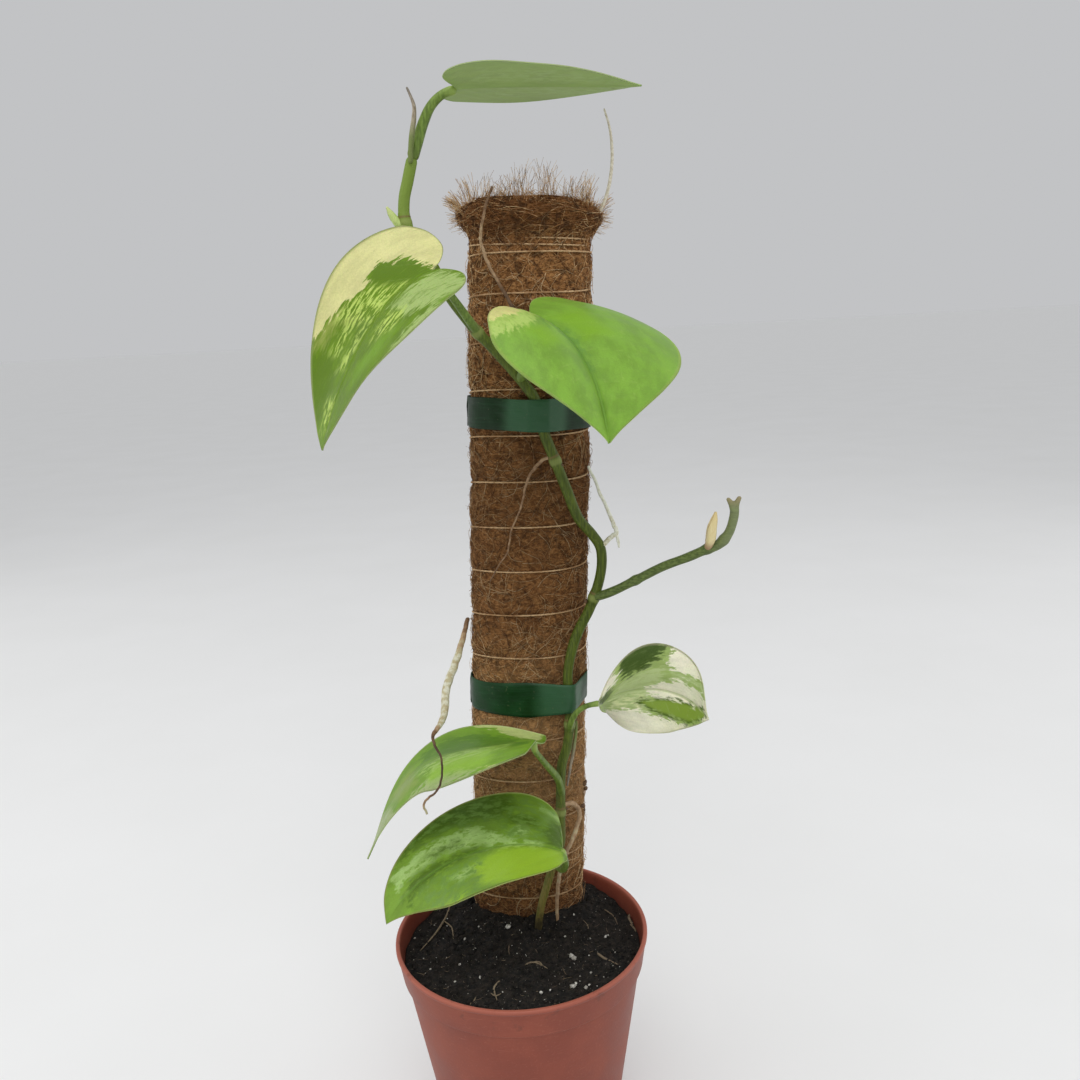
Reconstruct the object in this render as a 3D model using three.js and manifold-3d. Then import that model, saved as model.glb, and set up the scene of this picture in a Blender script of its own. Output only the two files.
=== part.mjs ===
// A marbled pothos on a coir pole, in a small plastic nursery pot.
// Millimetres, +Z up. The origin is the centre of the pot's base, on the surface that it stands on.
// -Y is the plant's front, where the vine climbs, and +X is to its right.
import * as THREE from 'three';
import { mergeVertices } from 'three/addons/utils/BufferGeometryUtils.js';
import Module from 'manifold-3d';

const wasm = await Module();
wasm.setup();

// Clearance kept between pieces that touch on the real plant
const GAP = 0.3;

// Pot
const POT_HEIGHT = 107;
const RIM_RADIUS = 60;
const BASE_RADIUS = 41;
const WALL = 1.5;
const FLOOR = 2.5;
const COLLAR_HEIGHT = 15;
const COLLAR_STEP = 1.4;
const LIP = 1;
const DRAIN_HOLES = 8;
const DRAIN_RADIUS = 3.5;
const DRAIN_CIRCLE = 27;
const POT_SIDES = 48;

// Soil
const SOIL_LEVEL = 97;
const MOUND_HEIGHT = 5;
const MOUND_SPREAD = 20;
const CRUMB_HEIGHT = 0.6;

// Coir pole, in its own frame: +Z up its axis, the origin where the axis meets the soil level
const POLE_FOOT = [3.1, 35, SOIL_LEVEL];
const POLE_LEAN = THREE.MathUtils.degToRad(3.2);
const COIR_HALF_WIDTH = 27.3;
const COIR_HALF_DEPTH = 17;
const COIR_BOTTOM = -8;
const COIR_PINCH = 328;
const COIR_TOP = 349;
const COIR_FLARE = 4.5;
const LATH_WIDTH = 34;
const LATH_DEPTH = 10;
const LATH_BOTTOM = -55;
const LATH_POINT = 28;
const LATH_TOP = 345;

// Winding cord. It climbs more slowly over the pole's front than behind it. CORD_SAG is how far the
// straight steps of its path dip towards the sleeve between their ends.
const CORD_RADIUS = 0.6;
const CORD_PITCH = 20.9;
const CORD_FIRST_TURN = 14;
const CORD_LAST_TURN = 307;
const CORD_CLOSE_PITCH = 2.6;
const CORD_CLOSE_TURNS = 3;
const CORD_FRONT_SLOWING = 0.75;
const CORD_STEPS_PER_TURN = 16;
const CORD_SAG = 0.5;
const CORD_SIDES = 5;

// Tape bands: the heights of their lower and upper edges on the pole
const TAPE = 0.5;
const UPPER_BAND = [246.5, 261];
const LOWER_BAND = [110.5, 128];

// Stem, stalks and leaves
const STEM_RADIUS = 2.5;
const NODE_RADIUS = 3.1;
const BLADE = 1.1;

const vector = (p) => new THREE.Vector3(...p);
const finish = (color, roughness) => new THREE.MeshStandardMaterial({ color, roughness, metalness: 0 });

const finishes = {
  pot: finish('#8a4a3c', 0.55),
  soil: finish('#1f1b19', 0.95),
  wood: finish('#a98253', 0.8),
  coir: finish('#6d4a2b', 0.95),
  cord: finish('#c9b79a', 0.85),
  tape: finish('#1c4a30', 0.35),
  stem: finish('#5a6b2c', 0.5),
  stalk: finish('#7d9a45', 0.5),
  leaf: finish('#7fa544', 0.4),
  bud: finish('#d6cf92', 0.55),
  husk: finish('#9a8c74', 0.8),
  root: finish('#b5a98c', 0.8),
};

const plant = new THREE.Group();
const pole = new THREE.Group();
pole.position.set(...POLE_FOOT);
pole.rotation.y = POLE_LEAN;
pole.updateMatrixWorld();
plant.add(pole);

function add(name, geometry, material, parent = plant) {
  const mesh = new THREE.Mesh(geometry, material);
  mesh.name = name;
  parent.add(mesh);
}

// Solid joins and cuts

function solid(geometry) {
  const bare = geometry.clone();
  bare.deleteAttribute('normal');
  bare.deleteAttribute('uv');
  const merged = mergeVertices(bare, 1e-4);
  return new wasm.Manifold(new wasm.Mesh({
    numProp: 3,
    vertProperties: new Float32Array(merged.attributes.position.array),
    triVerts: new Uint32Array(merged.index.array),
  }));
}

function toGeometry(body) {
  const mesh = body.getMesh();
  const geometry = new THREE.BufferGeometry();
  geometry.setAttribute('position', new THREE.BufferAttribute(new Float32Array(mesh.vertProperties), 3));
  geometry.setIndex(new THREE.BufferAttribute(new Uint32Array(mesh.triVerts), 1));
  return geometry;
}

function join(...pieces) {
  return toGeometry(pieces.map(solid).reduce((all, piece) => all.add(piece)));
}

// The largest body that is left of a piece once the tools are cut out of it
function cut(piece, ...tools) {
  const left = tools.map(solid).reduce((body, tool) => body.subtract(tool), solid(piece));
  const bodies = left.decompose().sort((a, b) => b.volume() - a.volume());
  return toGeometry(bodies[0]);
}

function turned(profile, sides) {
  const geometry = new THREE.LatheGeometry(profile.map(([r, z]) => new THREE.Vector2(r, z)), sides);
  return geometry.rotateX(Math.PI / 2);
}

// A round rod, turned and then bent along a smooth path. Its radii are spread evenly along it.
function rod(points, radii, { steps = 2 * points.length + 2, sides = 7, grow = 0 } = {}) {
  const path = new THREE.CatmullRomCurve3(points.map(vector), false, 'centripetal');
  path.points[0].addScaledVector(path.getTangent(0), -grow);
  path.points.at(-1).addScaledVector(path.getTangent(1), grow);
  const profile = [[0, 0]];
  for (let ring = 0; ring <= steps; ring++) {
    const along = (ring / steps) * (radii.length - 1);
    const before = Math.min(Math.floor(along), radii.length - 2);
    const radius = THREE.MathUtils.lerp(radii[before], radii[before + 1], along - before);
    profile.push([radius + grow, ring]);
  }
  profile.push([0, steps]);
  const geometry = turned(profile, sides);
  const spots = geometry.attributes.position;
  const frames = path.computeFrenetFrames(steps);
  for (let i = 0; i < spots.count; i++) {
    const ring = Math.round(spots.getZ(i));
    const spot = path.getPointAt(ring / steps);
    spot.addScaledVector(frames.normals[ring], spots.getX(i));
    spot.addScaledVector(frames.binormals[ring], spots.getY(i));
    spots.setXYZ(i, spot.x, spot.y, spot.z);
  }
  return geometry;
}

// Pot: a tapered wall under a collar that stands a step proud, with drainage holes in the floor
function makePot() {
  const collarFoot = POT_HEIGHT - COLLAR_HEIGHT;
  const taper = (RIM_RADIUS - COLLAR_STEP - BASE_RADIUS) / POT_HEIGHT;
  const wallAt = (z) => BASE_RADIUS + taper * z;
  const profile = [
    [0, 0],
    [BASE_RADIUS - 1.5, 0],
    [wallAt(2), 2],
    [wallAt(collarFoot), collarFoot],
    [wallAt(collarFoot) + COLLAR_STEP, collarFoot + 1],
    [RIM_RADIUS, POT_HEIGHT - LIP],
    [RIM_RADIUS - LIP / 2, POT_HEIGHT],
    [RIM_RADIUS - WALL, POT_HEIGHT],
    [RIM_RADIUS - WALL - LIP / 2, POT_HEIGHT - LIP],
    [wallAt(collarFoot) + COLLAR_STEP - WALL, collarFoot + 2],
    [wallAt(collarFoot) - WALL, collarFoot],
    [wallAt(FLOOR) - WALL, FLOOR],
    [0, FLOOR],
  ];
  const holes = [];
  for (let i = 0; i < DRAIN_HOLES; i++) {
    const angle = ((i + 0.5) / DRAIN_HOLES) * 2 * Math.PI;
    const hole = new THREE.CylinderGeometry(DRAIN_RADIUS, DRAIN_RADIUS, 3 * FLOOR, 12).rotateX(Math.PI / 2);
    holes.push(hole.translate(DRAIN_CIRCLE * Math.cos(angle), DRAIN_CIRCLE * Math.sin(angle), FLOOR / 2));
  }
  return { pot: cut(turned(profile, POT_SIDES), ...holes), wallAt, collarFoot };
}

// How far the soil's surface stands above its level: crumbs everywhere, and a mound round the pole
function soilRise(x, y) {
  const toPole = Math.max(0, Math.hypot(x - POLE_FOOT[0], 1.4 * (y - POLE_FOOT[1])) - COIR_HALF_WIDTH);
  const mound = MOUND_HEIGHT * Math.exp(-((toPole / MOUND_SPREAD) ** 2));
  const crumbs = Math.sin(0.31 * x + 1.1) * Math.sin(0.27 * y + 0.4) + 0.6 * Math.sin(0.63 * x - 0.5 * y);
  return mound + CRUMB_HEIGHT * crumbs;
}

function makeSoil(wallAt, collarFoot) {
  const edge = wallAt(collarFoot) + COLLAR_STEP - WALL - 2 * GAP;
  const rings = 7;
  const profile = [
    [0, FLOOR + GAP],
    [wallAt(FLOOR) - WALL - 2 * GAP, FLOOR + GAP],
    [wallAt(collarFoot) - WALL - 2 * GAP, collarFoot],
    [edge, collarFoot + 2.5],
  ];
  for (let ring = rings; ring >= 0; ring--) {
    profile.push([(edge * ring) / rings, SOIL_LEVEL]);
  }
  const geometry = turned(profile, 40);
  const spots = geometry.attributes.position;
  for (let i = 0; i < spots.count; i++) {
    if (spots.getZ(i) > SOIL_LEVEL - 0.01) {
      spots.setZ(i, SOIL_LEVEL + soilRise(spots.getX(i), spots.getY(i)));
    }
  }
  return geometry;
}

// Coir sleeve: pressed fibre of a flattened round section, pinched by the cord under its frayed collar
function coirOutside(grow = 0) {
  const half = COIR_HALF_WIDTH + grow;
  const geometry = turned([
    [0, COIR_BOTTOM - grow],
    [half, COIR_BOTTOM - grow],
    [half, COIR_PINCH + 5],
    [half + COIR_FLARE - 1, COIR_PINCH + 10],
    [half + COIR_FLARE, COIR_PINCH + 14],
    [half + COIR_FLARE - 2.5, COIR_TOP],
    [0, COIR_TOP],
  ], 36);
  return geometry.scale(1, (COIR_HALF_DEPTH + grow) / half, 1);
}

// Lath: a flat wooden stake, pointed at its lower end
function lath(grow = 0) {
  const half = LATH_WIDTH / 2 + grow;
  const outline = new THREE.Shape([
    new THREE.Vector2(-half, LATH_TOP + grow),
    new THREE.Vector2(-half, LATH_BOTTOM + LATH_POINT),
    new THREE.Vector2(-3 - grow, LATH_BOTTOM - grow),
    new THREE.Vector2(3 + grow, LATH_BOTTOM - grow),
    new THREE.Vector2(half, LATH_BOTTOM + LATH_POINT),
    new THREE.Vector2(half, LATH_TOP + grow),
  ]);
  const depth = LATH_DEPTH + 2 * grow;
  const geometry = new THREE.ExtrudeGeometry(outline, { depth, bevelEnabled: false });
  return geometry.translate(0, 0, -depth / 2).rotateX(Math.PI / 2);
}

class Winding extends THREE.Curve {
  constructor() {
    super();
    this.first = -0.3;
    this.spaced = (CORD_LAST_TURN - CORD_FIRST_TURN) / CORD_PITCH;
    this.turns = this.spaced + 1 + CORD_CLOSE_TURNS;
  }

  // Steps are spread evenly by angle, not by length, so that they stay short where the section is sharp
  getUtoTmapping(u) {
    return u;
  }

  height(turn) {
    const close = COIR_PINCH - CORD_CLOSE_PITCH * CORD_CLOSE_TURNS / 2;
    if (turn < this.spaced) return CORD_FIRST_TURN + CORD_PITCH * turn;
    const past = turn - this.spaced;
    if (past < 1) return THREE.MathUtils.lerp(CORD_LAST_TURN, close, past);
    return close + CORD_CLOSE_PITCH * (past - 1);
  }

  getPoint(t, target = new THREE.Vector3()) {
    const turn = THREE.MathUtils.lerp(this.first, this.turns, t);
    const angle = 2 * Math.PI * turn - Math.PI / 2;
    const off = GAP + CORD_SAG + CORD_RADIUS;
    const slowed = turn - (CORD_FRONT_SLOWING / (2 * Math.PI)) * Math.cos(angle);
    return target.set(
      (COIR_HALF_WIDTH + off) * Math.cos(angle),
      (COIR_HALF_DEPTH + off) * Math.sin(angle),
      this.height(slowed),
    );
  }
}

function makeCord() {
  const path = new Winding();
  const corners = [];
  for (let i = 0; i < CORD_SIDES; i++) {
    const angle = (i / CORD_SIDES) * 2 * Math.PI;
    corners.push(new THREE.Vector2(CORD_RADIUS * Math.cos(angle), CORD_RADIUS * Math.sin(angle)));
  }
  const steps = Math.round((path.turns - path.first) * CORD_STEPS_PER_TURN);
  return new THREE.ExtrudeGeometry(new THREE.Shape(corners), { extrudePath: path, steps, bevelEnabled: false });
}

// The corners of a convex outline round some points
function hull(points) {
  const sorted = [...points].sort((a, b) => a.x - b.x || a.y - b.y);
  const turn = (a, b, c) => (b.x - a.x) * (c.y - a.y) - (b.y - a.y) * (c.x - a.x);
  const chain = (list) => {
    const kept = [];
    for (const point of list) {
      while (kept.length > 1 && turn(kept.at(-2), kept.at(-1), point) <= 1e-6) kept.pop();
      kept.push(point);
    }
    return kept.slice(0, -1);
  };
  return [...chain(sorted), ...chain(sorted.reverse())];
}

// A tape band: pulled tight round the pole, its cord and the stem in front of it
function makeBand([low, high], stemPath) {
  const around = [];
  for (const point of stemPath.getSpacedPoints(300)) {
    const local = pole.worldToLocal(point.clone());
    if (local.z > low - 3 && local.z < high + 3) around.push(local);
  }
  const outline = (grow) => {
    const points = [];
    for (let i = 0; i < 40; i++) {
      const angle = (i / 40) * 2 * Math.PI;
      const [c, s] = [Math.cos(angle), Math.sin(angle)];
      points.push(new THREE.Vector2((COIR_HALF_WIDTH + grow) * c, (COIR_HALF_DEPTH + grow) * s));
    }
    for (const spot of around) {
      for (let i = 0; i < 20; i++) {
        const angle = (i / 20) * 2 * Math.PI;
        const radius = STEM_RADIUS + grow - 2 * CORD_RADIUS - CORD_SAG - GAP;
        points.push(new THREE.Vector2(spot.x + radius * Math.cos(angle), spot.y + radius * Math.sin(angle)));
      }
    }
    return hull(points);
  };
  const inside = 2 * GAP + CORD_SAG + 2 * CORD_RADIUS;
  const shape = new THREE.Shape(outline(inside + TAPE));
  shape.holes.push(new THREE.Path(outline(inside)));
  return new THREE.ExtrudeGeometry(shape, { depth: high - low, bevelEnabled: false }).translate(0, 0, low);
}

// Main stem, from under the soil up the front of the pole and off to the upper left
const STEM = [
  [6.5, 8.5, 82], [7.6, 8, 99], [9.8, 8, 112.5], [13.3, 9, 123.5], [16.7, 10, 133.5], [21, 12, 144],
  [21.7, 13.5, 159], [23.6, 14.5, 183.5], [26.4, 15, 192], [28.7, 16.3, 208.5], [28.6, 16, 227.5],
  [31.6, 17.5, 241], [35.4, 19, 249.5], [40.5, 20, 258.5], [45.7, 20, 273], [47, 20, 282], [46.3, 20, 288],
  [42.8, 19, 294], [37, 17, 302], [32.2, 15, 315.5], [27.5, 14, 329.5], [22.8, 13.3, 343.5], [20, 13, 357],
  [16, 13, 363.5], [8, 13, 374], [1.8, 12, 381.5], [-3, 10, 387], [-9.2, 8.5, 395.6], [-13.9, 9, 402.7],
  [-21.2, 9.3, 417.3], [-26.8, 9.3, 426.4], [-30.3, 9.3, 433.4], [-30.1, 9.3, 442.5], [-27.8, 9.3, 450.6],
  [-25.1, 9.3, 459.8],
];
const STEM_RADII = [2.3, 2.4, 2.5, 2.5, 2.5, 2.5, 2.5, 2.6];
const STEM_NODES = [
  [21.7, 13.5, 159], [28.1, 16.2, 203], [43, 20, 263.5], [27.5, 14, 329.5], [-3, 10, 387], [-30.4, 9.3, 433.4],
];
const stemPath = new THREE.CatmullRomCurve3(STEM.map(vector), false, 'centripetal');
const stemRod = (grow) => rod(STEM, STEM_RADII, { steps: 62, sides: 7, grow });

function makeStem(grow = 0) {
  const nodes = STEM_NODES.map(([x, y, z]) => {
    const knuckle = new THREE.SphereGeometry(NODE_RADIUS + grow, 8, 6);
    return knuckle.scale(1, 1, 0.8).translate(x, y, z);
  });
  return join(stemRod(grow), ...nodes);
}

// Leaves. A blade bends along its midrib, a Bezier curve from its joint to its tip. `faces` are the ways
// that its upper side looks at the joint and at the tip, and `widths`, `folds`, `curls` and `lobes` are for
// its left and its right half as seen from the stalk: half width, the angle at which the half leaves the
// midrib, how much that angle grows by its margin, and how far its basal lobe reaches back.
const LEAVES = {
  top: {
    midrib: [[-5, 8, 486], [22, 12, 487], [50, 12, 484], [70, 6, 482]],
    faces: [[0, 0.1, 1], [0.1, 0.1, 1]],
    widths: [25, 25], folds: [6, 6], curls: [-10, -10], lobes: [0.6, 0.6],
    stalk: [
      [-25.6, 9.3, 458], [-22.5, 9.2, 465.5], [-19.4, 9, 473], [-16, 8.8, 478.8], [-11, 8.4, 482.8], [-5, 8, 483.4],
    ],
    radii: [2.4, 2.1, 1.5],
  },
  upper_left: {
    midrib: [[-19, -14, 413], [-44.5, -21, 404], [-63, -26, 360], [-64.5, -39, 346]],
    faces: [[0.1, -0.5, 0.9], [-0.6, -0.2, 0.8]],
    widths: [29.5, 34], folds: [0, -3], curls: [9, 40], lobes: [0.8, 0.85],
    stalk: [[-3, 10, 387], [-7, 3, 394], [-11, -4, 401], [-15.5, -9.5, 408], [-19.3, -12.9, 411.5]],
    radii: [2, 1.7, 1.3],
  },
  upper_right: {
    midrib: [[22.5, -19, 391], [41, -34, 386], [45, -54, 363], [45, -81, 348]],
    faces: [[0.2, -0.3, 0.9], [-0.1, -0.4, 0.9]],
    widths: [43.5, 37], folds: [25, 41], curls: [-53, -74], lobes: [1.3, 0.5],
    stalk: [[14, 13, 365.5], [16, 6, 372], [18.3, -3, 379.5], [20.5, -11, 385], [22.8, -18.5, 389]],
    radii: [2, 1.7, 1.3],
  },
  small_right: {
    midrib: [[43, 6, 217], [60, 9, 226], [86, 22, 216], [88, -18, 216]],
    faces: [[0.8, -0.6, 0.05], [-0.35, -0.75, 0.55]],
    widths: [28, 24], folds: [57, -28], curls: [-36, 0], lobes: [0.25, 0.2],
    stalk: [[28.3, 15.6, 200.5], [28.7, 11, 205.4], [31.6, 8.4, 211.7], [36, 6.9, 215.2], [42.5, 6.3, 216.4]],
    radii: [1.8, 1.5, 1.1],
  },
  narrow: {
    midrib: [[12, -17, 210], [-33, -10, 204], [-45, 3, 202], [-64, -32, 166]],
    faces: [[-0.1, 0.3, 1], [-0.9, -0.4, 0.3]],
    widths: [29, 28], folds: [17, -19], curls: [-48, 40], lobes: [0.15, 0.1],
    stalk: [[22.8, 14, 168], [21.4, 9, 178], [15.5, -3.5, 193], [11.5, -13, 204], [11.2, -16.3, 208]],
    radii: [1.9, 1.6, 1.2],
  },
  bottom: {
    midrib: [[21, -27, 162], [-6, -28, 175], [-45, -19, 154], [-56, -43, 141]],
    faces: [[-0.1, 0.1, 1], [-0.1, -0.4, 0.9]],
    widths: [36, 36], folds: [-6, 8], curls: [22, 3], lobes: [0.2, 0.12],
    stalk: [[17.5, 10.3, 135], [20.5, 0, 137], [22.5, -14, 147.5], [21.2, -26.6, 161.4]],
    radii: [2, 1.7, 1.3],
  },
};

// Half of a heart-shaped outline from joint to tip: across in half widths, along in lengths
const HEART = new THREE.SplineCurve([
  [0, 0], [0.12, -0.075], [0.38, -0.135], [0.68, -0.1], [0.9, 0.03], [1, 0.2],
  [0.95, 0.38], [0.78, 0.57], [0.53, 0.74], [0.26, 0.88], [0.1, 0.95], [0, 1],
].map(([across, along]) => new THREE.Vector2(across, along)));
const BLADE_ROWS = 16;
const BLADE_COLUMNS = 4;

// A point of a blade: side -1 is its left half and 1 its right, across in half widths, along in lengths
function bladePoint(leaf, side, across, along) {
  const half = side < 0 ? 0 : 1;
  const path = new THREE.CubicBezierCurve3(...leaf.midrib.map(vector));
  const spot = path.getPointAt(Math.max(along, 0));
  const forward = path.getTangentAt(Math.max(along, 0));
  const up = vector(leaf.faces[0]).normalize();
  up.lerp(vector(leaf.faces[1]).normalize(), Math.max(along, 0));
  up.addScaledVector(forward, -up.dot(forward)).normalize();
  const right = new THREE.Vector3().crossVectors(forward, up);
  const fold = THREE.MathUtils.degToRad(leaf.folds[half]);
  const curl = THREE.MathUtils.degToRad(leaf.curls[half] || 0.1);
  const scale = leaf.widths[half] / curl;
  const out = scale * (Math.sin(fold + curl * across) - Math.sin(fold));
  const lift = scale * (Math.cos(fold) - Math.cos(fold + curl * across));
  const back = Math.min(along, 0) * leaf.lobes[half] * path.getLength();
  return spot.addScaledVector(forward, back).addScaledVector(right, side * out).addScaledVector(up, lift);
}

// A closed blade: its upper skin, the same skin a blade's thickness lower, and a strip round the margin.
// The skin's first row is the joint and its last the tip, and the rows between run from margin to margin.
function makeBlade(leaf, grow = 0) {
  const width = 2 * BLADE_COLUMNS + 1;
  const upper = [bladePoint(leaf, 1, 0, 0)];
  for (let row = 1; row < BLADE_ROWS; row++) {
    const u = row / BLADE_ROWS;
    const margin = HEART.getPoint(u);
    for (let column = -BLADE_COLUMNS; column <= BLADE_COLUMNS; column++) {
      const v = Math.abs(column) / BLADE_COLUMNS;
      const along = THREE.MathUtils.lerp(u * u, margin.y, v);
      upper.push(bladePoint(leaf, column < 0 ? -1 : 1, v * margin.x, along));
    }
  }
  upper.push(bladePoint(leaf, 1, 0, 1));
  const tip = upper.length - 1;
  const at = (row, column) => {
    if (row === 0) return 0;
    return row === BLADE_ROWS ? tip : 1 + (row - 1) * width + column;
  };
  const skin = [];
  for (let row = 0; row < BLADE_ROWS; row++) {
    for (let column = 0; column < width - 1; column++) {
      const [a, b] = [at(row, column), at(row, column + 1)];
      const [c, d] = [at(row + 1, column), at(row + 1, column + 1)];
      if (a !== b) skin.push([a, b, d]);
      if (c !== d) skin.push([a, d, c]);
    }
  }
  const top = new THREE.BufferGeometry().setFromPoints(upper);
  top.setIndex(skin.flat());
  top.computeVertexNormals();
  const normals = upper.map((_, i) => new THREE.Vector3().fromBufferAttribute(top.attributes.normal, i));
  const rim = [0];
  for (let row = 1; row < BLADE_ROWS; row++) rim.push(at(row, 0));
  rim.push(tip);
  for (let row = BLADE_ROWS - 1; row > 0; row--) rim.push(at(row, width - 1));
  const outward = rim.map((i, k) => {
    const along = upper[rim[(k + 1) % rim.length]].clone().sub(upper[rim.at(k - 1)]);
    return along.cross(normals[i]).normalize();
  });
  rim.forEach((i, k) => upper[i].addScaledVector(outward[k], -grow));
  const spots = upper.map((spot, i) => spot.clone().addScaledVector(normals[i], grow));
  spots.push(...upper.map((spot, i) => spot.clone().addScaledVector(normals[i], -BLADE - grow)));
  const under = upper.length;
  const corners = skin.flatMap(([a, b, c]) => [a, b, c, under + a, under + c, under + b]);
  for (const column of [0, width - 1]) {
    for (let row = 0; row < BLADE_ROWS; row++) {
      const ends = [at(row, column), at(row + 1, column)];
      const [a, b] = column === 0 ? ends : ends.reverse();
      corners.push(a, b, under + b, a, under + b, under + a);
    }
  }
  const blade = new THREE.BufferGeometry().setFromPoints(spots);
  blade.setIndex(corners);
  return blade;
}

// Shoots, buds and dry husks on the stem
const SHOOT = [
  [42.5, 20, 263.7], [50, 14.5, 267.2], [61.3, 9, 273.8], [72.7, 4, 280.5], [83.8, 0, 285.4],
  [91.7, -3, 289.3], [96.6, -5, 291.7], [100.4, -6, 296.2], [102.7, -7, 303.3], [103.2, -8, 309],
];
const SHOOT_RADII = [2.1, 2, 2, 2.1, 1.9];
const SHOOT_PRONGS = [
  [[103, -8, 306], [101.5, -8, 310], [99.8, -8, 312.4]],
  [[103, -8, 306], [104, -8, 310], [105.6, -8, 312.8]],
];
const BUD = [[91.6, -4, 289.5], [92.7, -7.5, 295], [93, -9.5, 300], [93.7, -10.5, 303.5], [94.4, -11, 307.2]];
const AXIL_BUD = [[-31, 9, 430], [-34, 8.2, 434.5], [-35.8, 7.2, 437.5], [-37.1, 6, 440]];
const DRY_SHEATH = [
  [-26, 6.5, 456.5], [-25.2, 5.4, 462.5], [-24.2, 5, 468.5], [-23.1, 5.2, 473.4], [-22.8, 6.4, 478.5],
  [-25.4, 8.4, 486.3],
];
const LOW_SHEATH = [[31.6, 19, 206], [31.4, 18.4, 200], [30.2, 18, 192], [27.8, 17.5, 181], [25.6, 16.4, 171]];

// Aerial roots
const ROOTS = {
  left: {
    path: [
      [-17.6, 34, 253], [-20.4, 26.5, 245], [-23.6, 18, 236.5], [-27.6, 8, 228.5], [-28.3, -4, 221],
      [-29.7, -14, 218.5], [-31.9, -24, 217.8], [-30.6, -30, 215.8], [-27.9, -35, 213], [-27.5, -38, 208.3],
      [-28.1, -40, 204], [-31, -40, 199], [-35.3, -38, 195], [-36.7, -36, 191], [-35.9, -34, 186.5],
    ],
    radii: [1.7, 1.6, 1.6, 1.1, 0.9, 0.8, 0.7, 0.7],
  },
  right: {
    path: [
      [47, 20, 287.5], [51, 20, 291.4], [54.2, 20, 293.9], [52.8, 20.5, 298.2], [47.5, 22.5, 312.3], [42.8, 26.5, 324.6],
    ],
    radii: [1.2, 1, 0.9, 0.8],
    fork: [[53.9, 20, 293.6], [54.8, 19.6, 290], [55, 19, 286.8]],
  },
  middle: {
    path: [
      [27.5, 14, 331], [23.1, 14.2, 330.7], [18.9, 14.6, 327.2], [15, 15, 321.8], [12.2, 14.9, 311.9],
      [9, 15, 304.2], [6.5, 15.1, 299.3], [4, 15.5, 289.1], [-1, 17, 281.3], [-5.2, 18.9, 274.2],
    ],
    radii: [1.3, 1.1, 0.9, 0.8, 0.6],
  },
  top: {
    path: [
      [8, 13, 374], [11.9, 14, 383.1], [13.2, 15.2, 391.5], [11.5, 15.6, 398.8], [6.4, 17, 408.8],
      [2.2, 18, 418.3], [0.5, 16.5, 425.9], [2.9, 11.8, 436.6], [7, 12, 446.8],
    ],
    radii: [0.9, 0.8, 0.7, 0.6],
  },
  low: {
    path: [
      [21.7, 13.7, 162], [27.5, 17, 161.8], [31, 19.8, 155.3], [29.4, 19, 148.4], [25.2, 16, 139.6],
      [21.6, 15.4, 132.4], [19, 14.4, 122.4], [17.6, 13.6, 110], [17.4, 13, 97],
    ],
    radii: [1.1, 1, 0.9, 0.9, 0.8],
  },
};

const stemSpace = makeStem(GAP);
const rootRod = ({ path, radii }, grow = 0) => rod(path, radii, { steps: 2 * path.length, sides: 6, grow });

const { pot, wallAt, collarFoot } = makePot();
add('pot', pot, finishes.pot);
const inPole = (geometry) => geometry.applyMatrix4(pole.matrixWorld);
const soil = cut(
  makeSoil(wallAt, collarFoot),
  inPole(coirOutside(GAP)),
  inPole(lath(GAP)),
  stemRod(GAP),
  rootRod(ROOTS.low, GAP),
);
add('soil', soil, finishes.soil);

add('pole_lath', lath(), finishes.wood, pole);
add('coir_sleeve', cut(coirOutside(), lath(GAP)), finishes.coir, pole);
add('winding_cord', makeCord(), finishes.cord, pole);
add('tape_band_upper', makeBand(UPPER_BAND, stemPath), finishes.tape, pole);
add('tape_band_lower', makeBand(LOWER_BAND, stemPath), finishes.tape, pole);

add('main_stem', makeStem(), finishes.stem);
const shootSpace = rod(SHOOT, SHOOT_RADII, { grow: GAP });
const prongs = SHOOT_PRONGS.map((points) => rod(points, [1.6, 1.2], { steps: 4 }));
add('side_shoot', cut(join(rod(SHOOT, SHOOT_RADII), ...prongs), stemSpace), finishes.stem);
add('shoot_bud', cut(rod(BUD, [1.8, 2.2, 2, 0.8]), shootSpace), finishes.bud);
add('axil_bud', cut(rod(AXIL_BUD, [1.8, 1.6, 0.6]), stemSpace), finishes.stalk);

for (const [name, leaf] of Object.entries(LEAVES)) {
  const stalk = rod(leaf.stalk, leaf.radii);
  add(`leaf_${name}`, makeBlade(leaf), finishes.leaf);
  add(`petiole_${name}`, cut(stalk, stemSpace, makeBlade(leaf, GAP)), finishes.stalk);
}

const topStalk = rod(LEAVES.top.stalk, LEAVES.top.radii, { grow: GAP });
add('dry_sheath_top', cut(rod(DRY_SHEATH, [1.3, 1.3, 1.1, 0.6]), stemSpace, topStalk), finishes.husk);
add('dry_sheath_low', cut(rod(LOW_SHEATH, [0.7, 0.9, 0.7], { sides: 5 }), stemSpace), finishes.husk);

for (const [name, root] of Object.entries(ROOTS)) {
  const pieces = [rootRod(root)];
  if (root.fork) pieces.push(rod(root.fork, [0.9, 0.6], { steps: 4, sides: 6 }));
  add(`aerial_root_${name}`, cut(join(...pieces), stemSpace), finishes.root);
}

export default plant;
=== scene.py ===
# %% [markdown]
# # A marbled pothos on a coir pole
#
# This lesson builds one young climbing houseplant: a vine with six marbled leaves, the coir pole that
# it climbs, and the small plastic pot that holds both. A plain CAD model is loaded first. It fixes where
# everything is, and each step after that swaps one of its plain solids for a detailed piece.

# %% Load the plain model
import math

import bpy
import numpy as np
from mathutils import Matrix, Vector, noise
from mathutils.geometry import convex_hull_2d


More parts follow.
